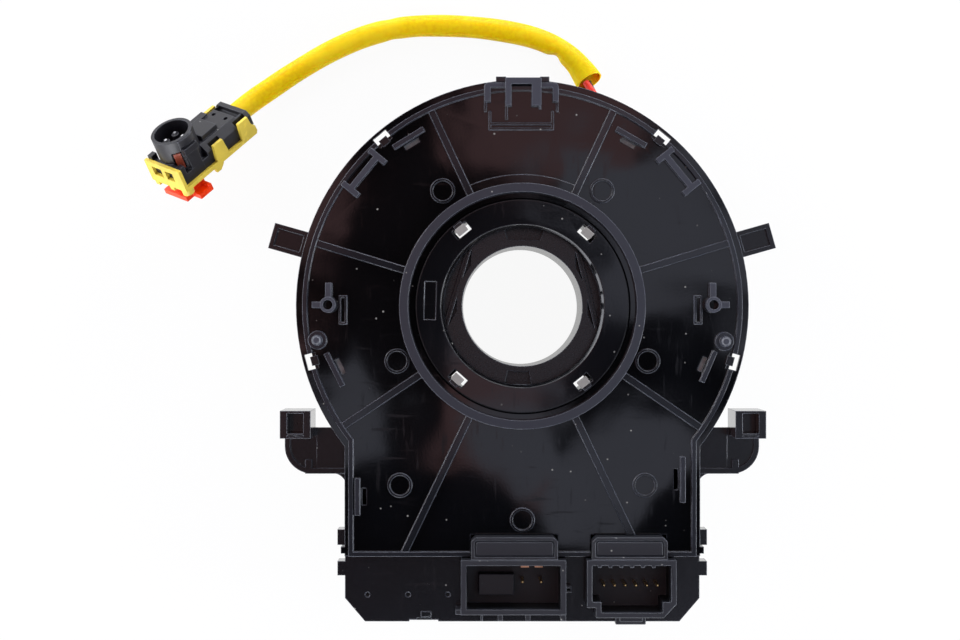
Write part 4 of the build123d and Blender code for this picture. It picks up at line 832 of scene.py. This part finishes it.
def sleeve_section(sizes):
    """The sleeve's section: wide and cut aslant at its mouth, drawn in at its fold and its kink."""
    slant_end = 9 * MM
    mouth_reach = 5 * MM
    fold_reach = 1.7 * MM
    kink_reach = 1.6 * MM
    dents_along = 90
    dents_round = 1.2
    dent_share = 0.05

    def section(distance, angle):
        near = exp(-(distance / mouth_reach) ** 2)
        fold = exp(-((distance - sizes.fold_place) / fold_reach) ** 2)
        kink = exp(-((distance - sizes.kink_place) / kink_reach) ** 2)
        wide = sizes.sleeve_width + (sizes.mouth_width - sizes.sleeve_width) * near
        high = sizes.sleeve_height + (sizes.mouth_height - sizes.sleeve_height) * near
        wide -= sizes.fold_deep * kink * 0.35
        high -= sizes.fold_deep * (fold * 0.25 + kink * 0.8)
        dents = (distance * dents_along, cos(angle) * dents_round, sin(angle) * dents_round)
        uneven = noise.noise(dents) * dent_share
        crease = fold * max(0.0, -cos(angle)) ** 2 * sizes.fold_deep
        slant = (1 + sin(angle)) / 2 * sizes.mouth_slant * max(0.0, 1 - distance / slant_end)
        across = (wide / 2) * cos(angle) * (1 + uneven) + crease
        return across, (high / 2) * sin(angle) * (1 + uneven), distance + slant

    return section


class CLOCK_OT_lead(bpy.types.Operator):
    """Make the yellow sleeve and the two wires that come out of it"""
    bl_idname = "clock_spring.lead"
    bl_label = "Lead"

    def execute(self, context):
        sizes = context.scene.clock_lead
        for name, points in (("airbag_wire_a", WIRE_A_ROUTE), ("airbag_wire_b", WIRE_B_ROUTE)):
            route = Route(name + "_line", points)
            section = plain_section(sizes.wire_width, sizes.wire_width)
            mesh = tube_mesh(name + "_tube", route, section, WIRE_STEP, WIRE_SIDES)
            add_piece(name + "_tube", mesh, BODIES[name], SLOTS[name], name)
        route = Route("sleeve_line", SLEEVE_ROUTE)
        mesh = tube_mesh("sleeve", route, sleeve_section(sizes), SLEEVE_STEP, SLEEVE_SIDES,
                         sizes.sleeve_wall, sizes.mouth_depth)
        sleeve = add_piece("sleeve", mesh, BODIES["lead_sleeve"], SLOTS["lead_sleeve"], "lead_sleeve")
        return {"FINISHED"}


class CLOCK_OT_case(bpy.types.Operator):
    """Dress the case"""
    bl_idname = "clock_spring.case"
    bl_label = "Case"

    def execute(self, context):
        round_edges("front_case", context.scene.clock_edges.case_edge)
        paint("stator_joint_block")
        return {"FINISHED"}


class CLOCK_OT_cover(bpy.types.Operator):
    """Dress the ribbed cover"""
    bl_idname = "clock_spring.cover"
    bl_label = "Cover"

    def execute(self, context):
        round_edges("rear_cover", context.scene.clock_edges.cover_edge)
        return {"FINISHED"}


class CLOCK_OT_sockets(bpy.types.Operator):
    """Dress the three sockets and make their pins"""
    bl_idname = "clock_spring.sockets"
    bl_label = "Sockets"

    def execute(self, context):
        for node in ("airbag_socket", "switch_socket", "wheel_socket"):
            round_edges(node, context.scene.clock_edges.socket_edge)
        paint("airbag_shorting_bars")
        sizes = context.scene.clock_pins
        tree = PinTree("pin_rows")
        pin_rows(tree, "airbag_socket_pins", 2, 1, sizes.airbag_pitch, True)
        pin_rows(tree, "switch_socket_pins", sizes.switch_columns, 1, sizes.pitch, True)
        pin_rows(tree, "wheel_socket_pins", sizes.wheel_columns, 2, sizes.pitch, False,
                 context.scene.clock_hooks.hub_turn)
        return {"FINISHED"}


class CLOCK_OT_hub(bpy.types.Operator):
    """Dress the hub, its ring and the face plate"""
    bl_idname = "clock_spring.hub"
    bl_label = "Hub"

    def execute(self, context):
        for node in ("rotor", "hub_ring", "face_plate", "wire_cover"):
            round_edges(node, context.scene.clock_edges.hub_edge)
        ring_noses(HookTree("hook_blocks"))
        paint("rotor_joint_block")
        return {"FINISHED"}


class CLOCK_OT_ribbons(bpy.types.Operator):
    """Give the flat cables and slip films their finish"""
    bl_idname = "clock_spring.ribbons"
    bl_label = "Flat cables"

    def execute(self, context):
        paint("ribbon_cable_a", "ribbon_cable_b", "stator_slip_film", "rotor_slip_film")
        return {"FINISHED"}


def lamp(name, place, size, power, tint):
    """A soft rectangular lamp that faces the part."""
    data = bpy.data.lights.new(name, "AREA")
    data.shape = "RECTANGLE"
    data.size, data.size_y = size
    data.energy = power
    data.color = tint
    holder = bpy.data.objects.new(name, data)
    holder.location = place
    holder.rotation_mode = "QUATERNION"
    holder.rotation_quaternion = (Vector(LAMP_TARGET) - Vector(place)).to_track_quat("-Z", "Y")
    bpy.context.scene.collection.objects.link(holder)


def studio():
    """The light all round: pale walls, and a dark ceiling with grey and brown patches overhead."""
    room = Finish(bpy.data.worlds.new("studio"), "Generated")
    place = room.add("ShaderNodeSeparateXYZ", {}, {"Vector": room.place})
    across, along, up = (room.part(place, axis) for axis in "XYZ")
    ripple = room.noise(15, 1.5) * 0.5
    eddy = room.noise(12, 1.5) * 0.5
    cool = (across * 0.55 - along * 0.12 + ripple).above(0.29, 0.01)
    warm = (along * 0.4 - across * 0.35 + eddy).above(0.275, 0.014)
    ceiling = room.mix(warm, CEILING_DARK, CEILING_BROWN)
    ceiling = room.mix(cool, ceiling, CEILING_GREY)
    walls = room.mix(up.above(0.36, 0.16), WINDOW_WHITE, WALL_GREY)
    shade = room.mix(up.above(0.9, 0.1), walls, ceiling)
    light = room.add("ShaderNodeBackground", {}, {"Color": shade, "Strength": 1})
    return room.end(light, "ShaderNodeOutputWorld")


def floor_paper(settings):
    """White paper, which the camera, gloss and glass see mostly as plain white."""
    finish = Finish(bpy.data.materials.new("floor_white"))
    paper = finish.add("ShaderNodeBsdfDiffuse", {}, {"Color": (settings.floor_white,) * 3})
    plain = finish.add("ShaderNodeEmission", {}, {"Color": (1, 1, 1), "Strength": 1})
    seen = finish.add("ShaderNodeLightPath", {}, {}, "Is Camera Ray")
    seen = seen + finish.part(seen, "Is Glossy Ray") + finish.part(seen, "Is Transmission Ray")
    both = finish.add("ShaderNodeMixShader", {}, {0: seen * settings.floor_plain, 1: paper, 2: plain})
    return finish.end(both, "ShaderNodeOutputMaterial")


class CLOCK_OT_stage(bpy.types.Operator):
    """Make the white floor, the lamps and the surrounding light"""
    bl_idname = "clock_spring.stage"
    bl_label = "Stage"

    def execute(self, context):
        settings = context.scene.clock_stage
        half = settings.floor_size / 2
        mesh = bpy.data.meshes.new("floor")
        rim = [(-half, -half, 0), (half, -half, 0), (half, half, 0), (-half, half, 0)]
        mesh.from_pydata(rim, [], [(0, 1, 2, 3)])
        mesh.materials.append(floor_paper(settings))
        floor = bpy.data.objects.new("floor", mesh)
        context.scene.collection.objects.link(floor)

        context.scene.world = studio()
        for name, (place, size, power_share, tint) in LAMPS.items():
            lamp(name, place, size, settings.lamp_power * power_share, tint)
        context.scene.view_settings.view_transform = "Standard"
        return {"FINISHED"}


class CLOCK_PT_parts(bpy.types.Panel):
    """Lists the steps that dress the clock spring"""
    bl_idname = "CLOCK_PT_parts"
    bl_label = "Clock spring"
    bl_space_type = "VIEW_3D"
    bl_region_type = "UI"
    bl_category = "Clock spring"

    def draw(self, context):
        for step in STEPS:
            self.layout.operator(step.bl_idname)
        for group in GROUPS:
            settings = getattr(context.scene, group)
            for name in settings.__annotations__:
                self.layout.prop(settings, name)


GROUPS = {
    "clock_lead": LeadSizes,
    "clock_edges": EdgeSizes,
    "clock_pins": PinSizes,
    "clock_hooks": HookSizes,
    "clock_colours": FinishColours,
    "clock_stage": StageSettings,
}
STEPS = (
    CLOCK_OT_camera, CLOCK_OT_plug, CLOCK_OT_lead, CLOCK_OT_case, CLOCK_OT_cover, CLOCK_OT_sockets,
    CLOCK_OT_hub, CLOCK_OT_ribbons, CLOCK_OT_stage,
)


def register():
    for group in GROUPS.values():
        bpy.utils.register_class(group)
    for step in STEPS:
        bpy.utils.register_class(step)
    bpy.utils.register_class(CLOCK_PT_parts)
    for name, group in GROUPS.items():
        setattr(bpy.types.Scene, name, PointerProperty(type=group))


def unregister():
    for name in GROUPS:
        delattr(bpy.types.Scene, name)
    bpy.utils.unregister_class(CLOCK_PT_parts)
    for step in reversed(STEPS):
        bpy.utils.unregister_class(step)
    for group in reversed(GROUPS.values()):
        bpy.utils.unregister_class(group)


def main():
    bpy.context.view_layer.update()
    register()
    for step in STEPS:
        group, name = step.bl_idname.split(".")
        getattr(getattr(bpy.ops, group), name)()


if __name__ == "__main__":
    main()
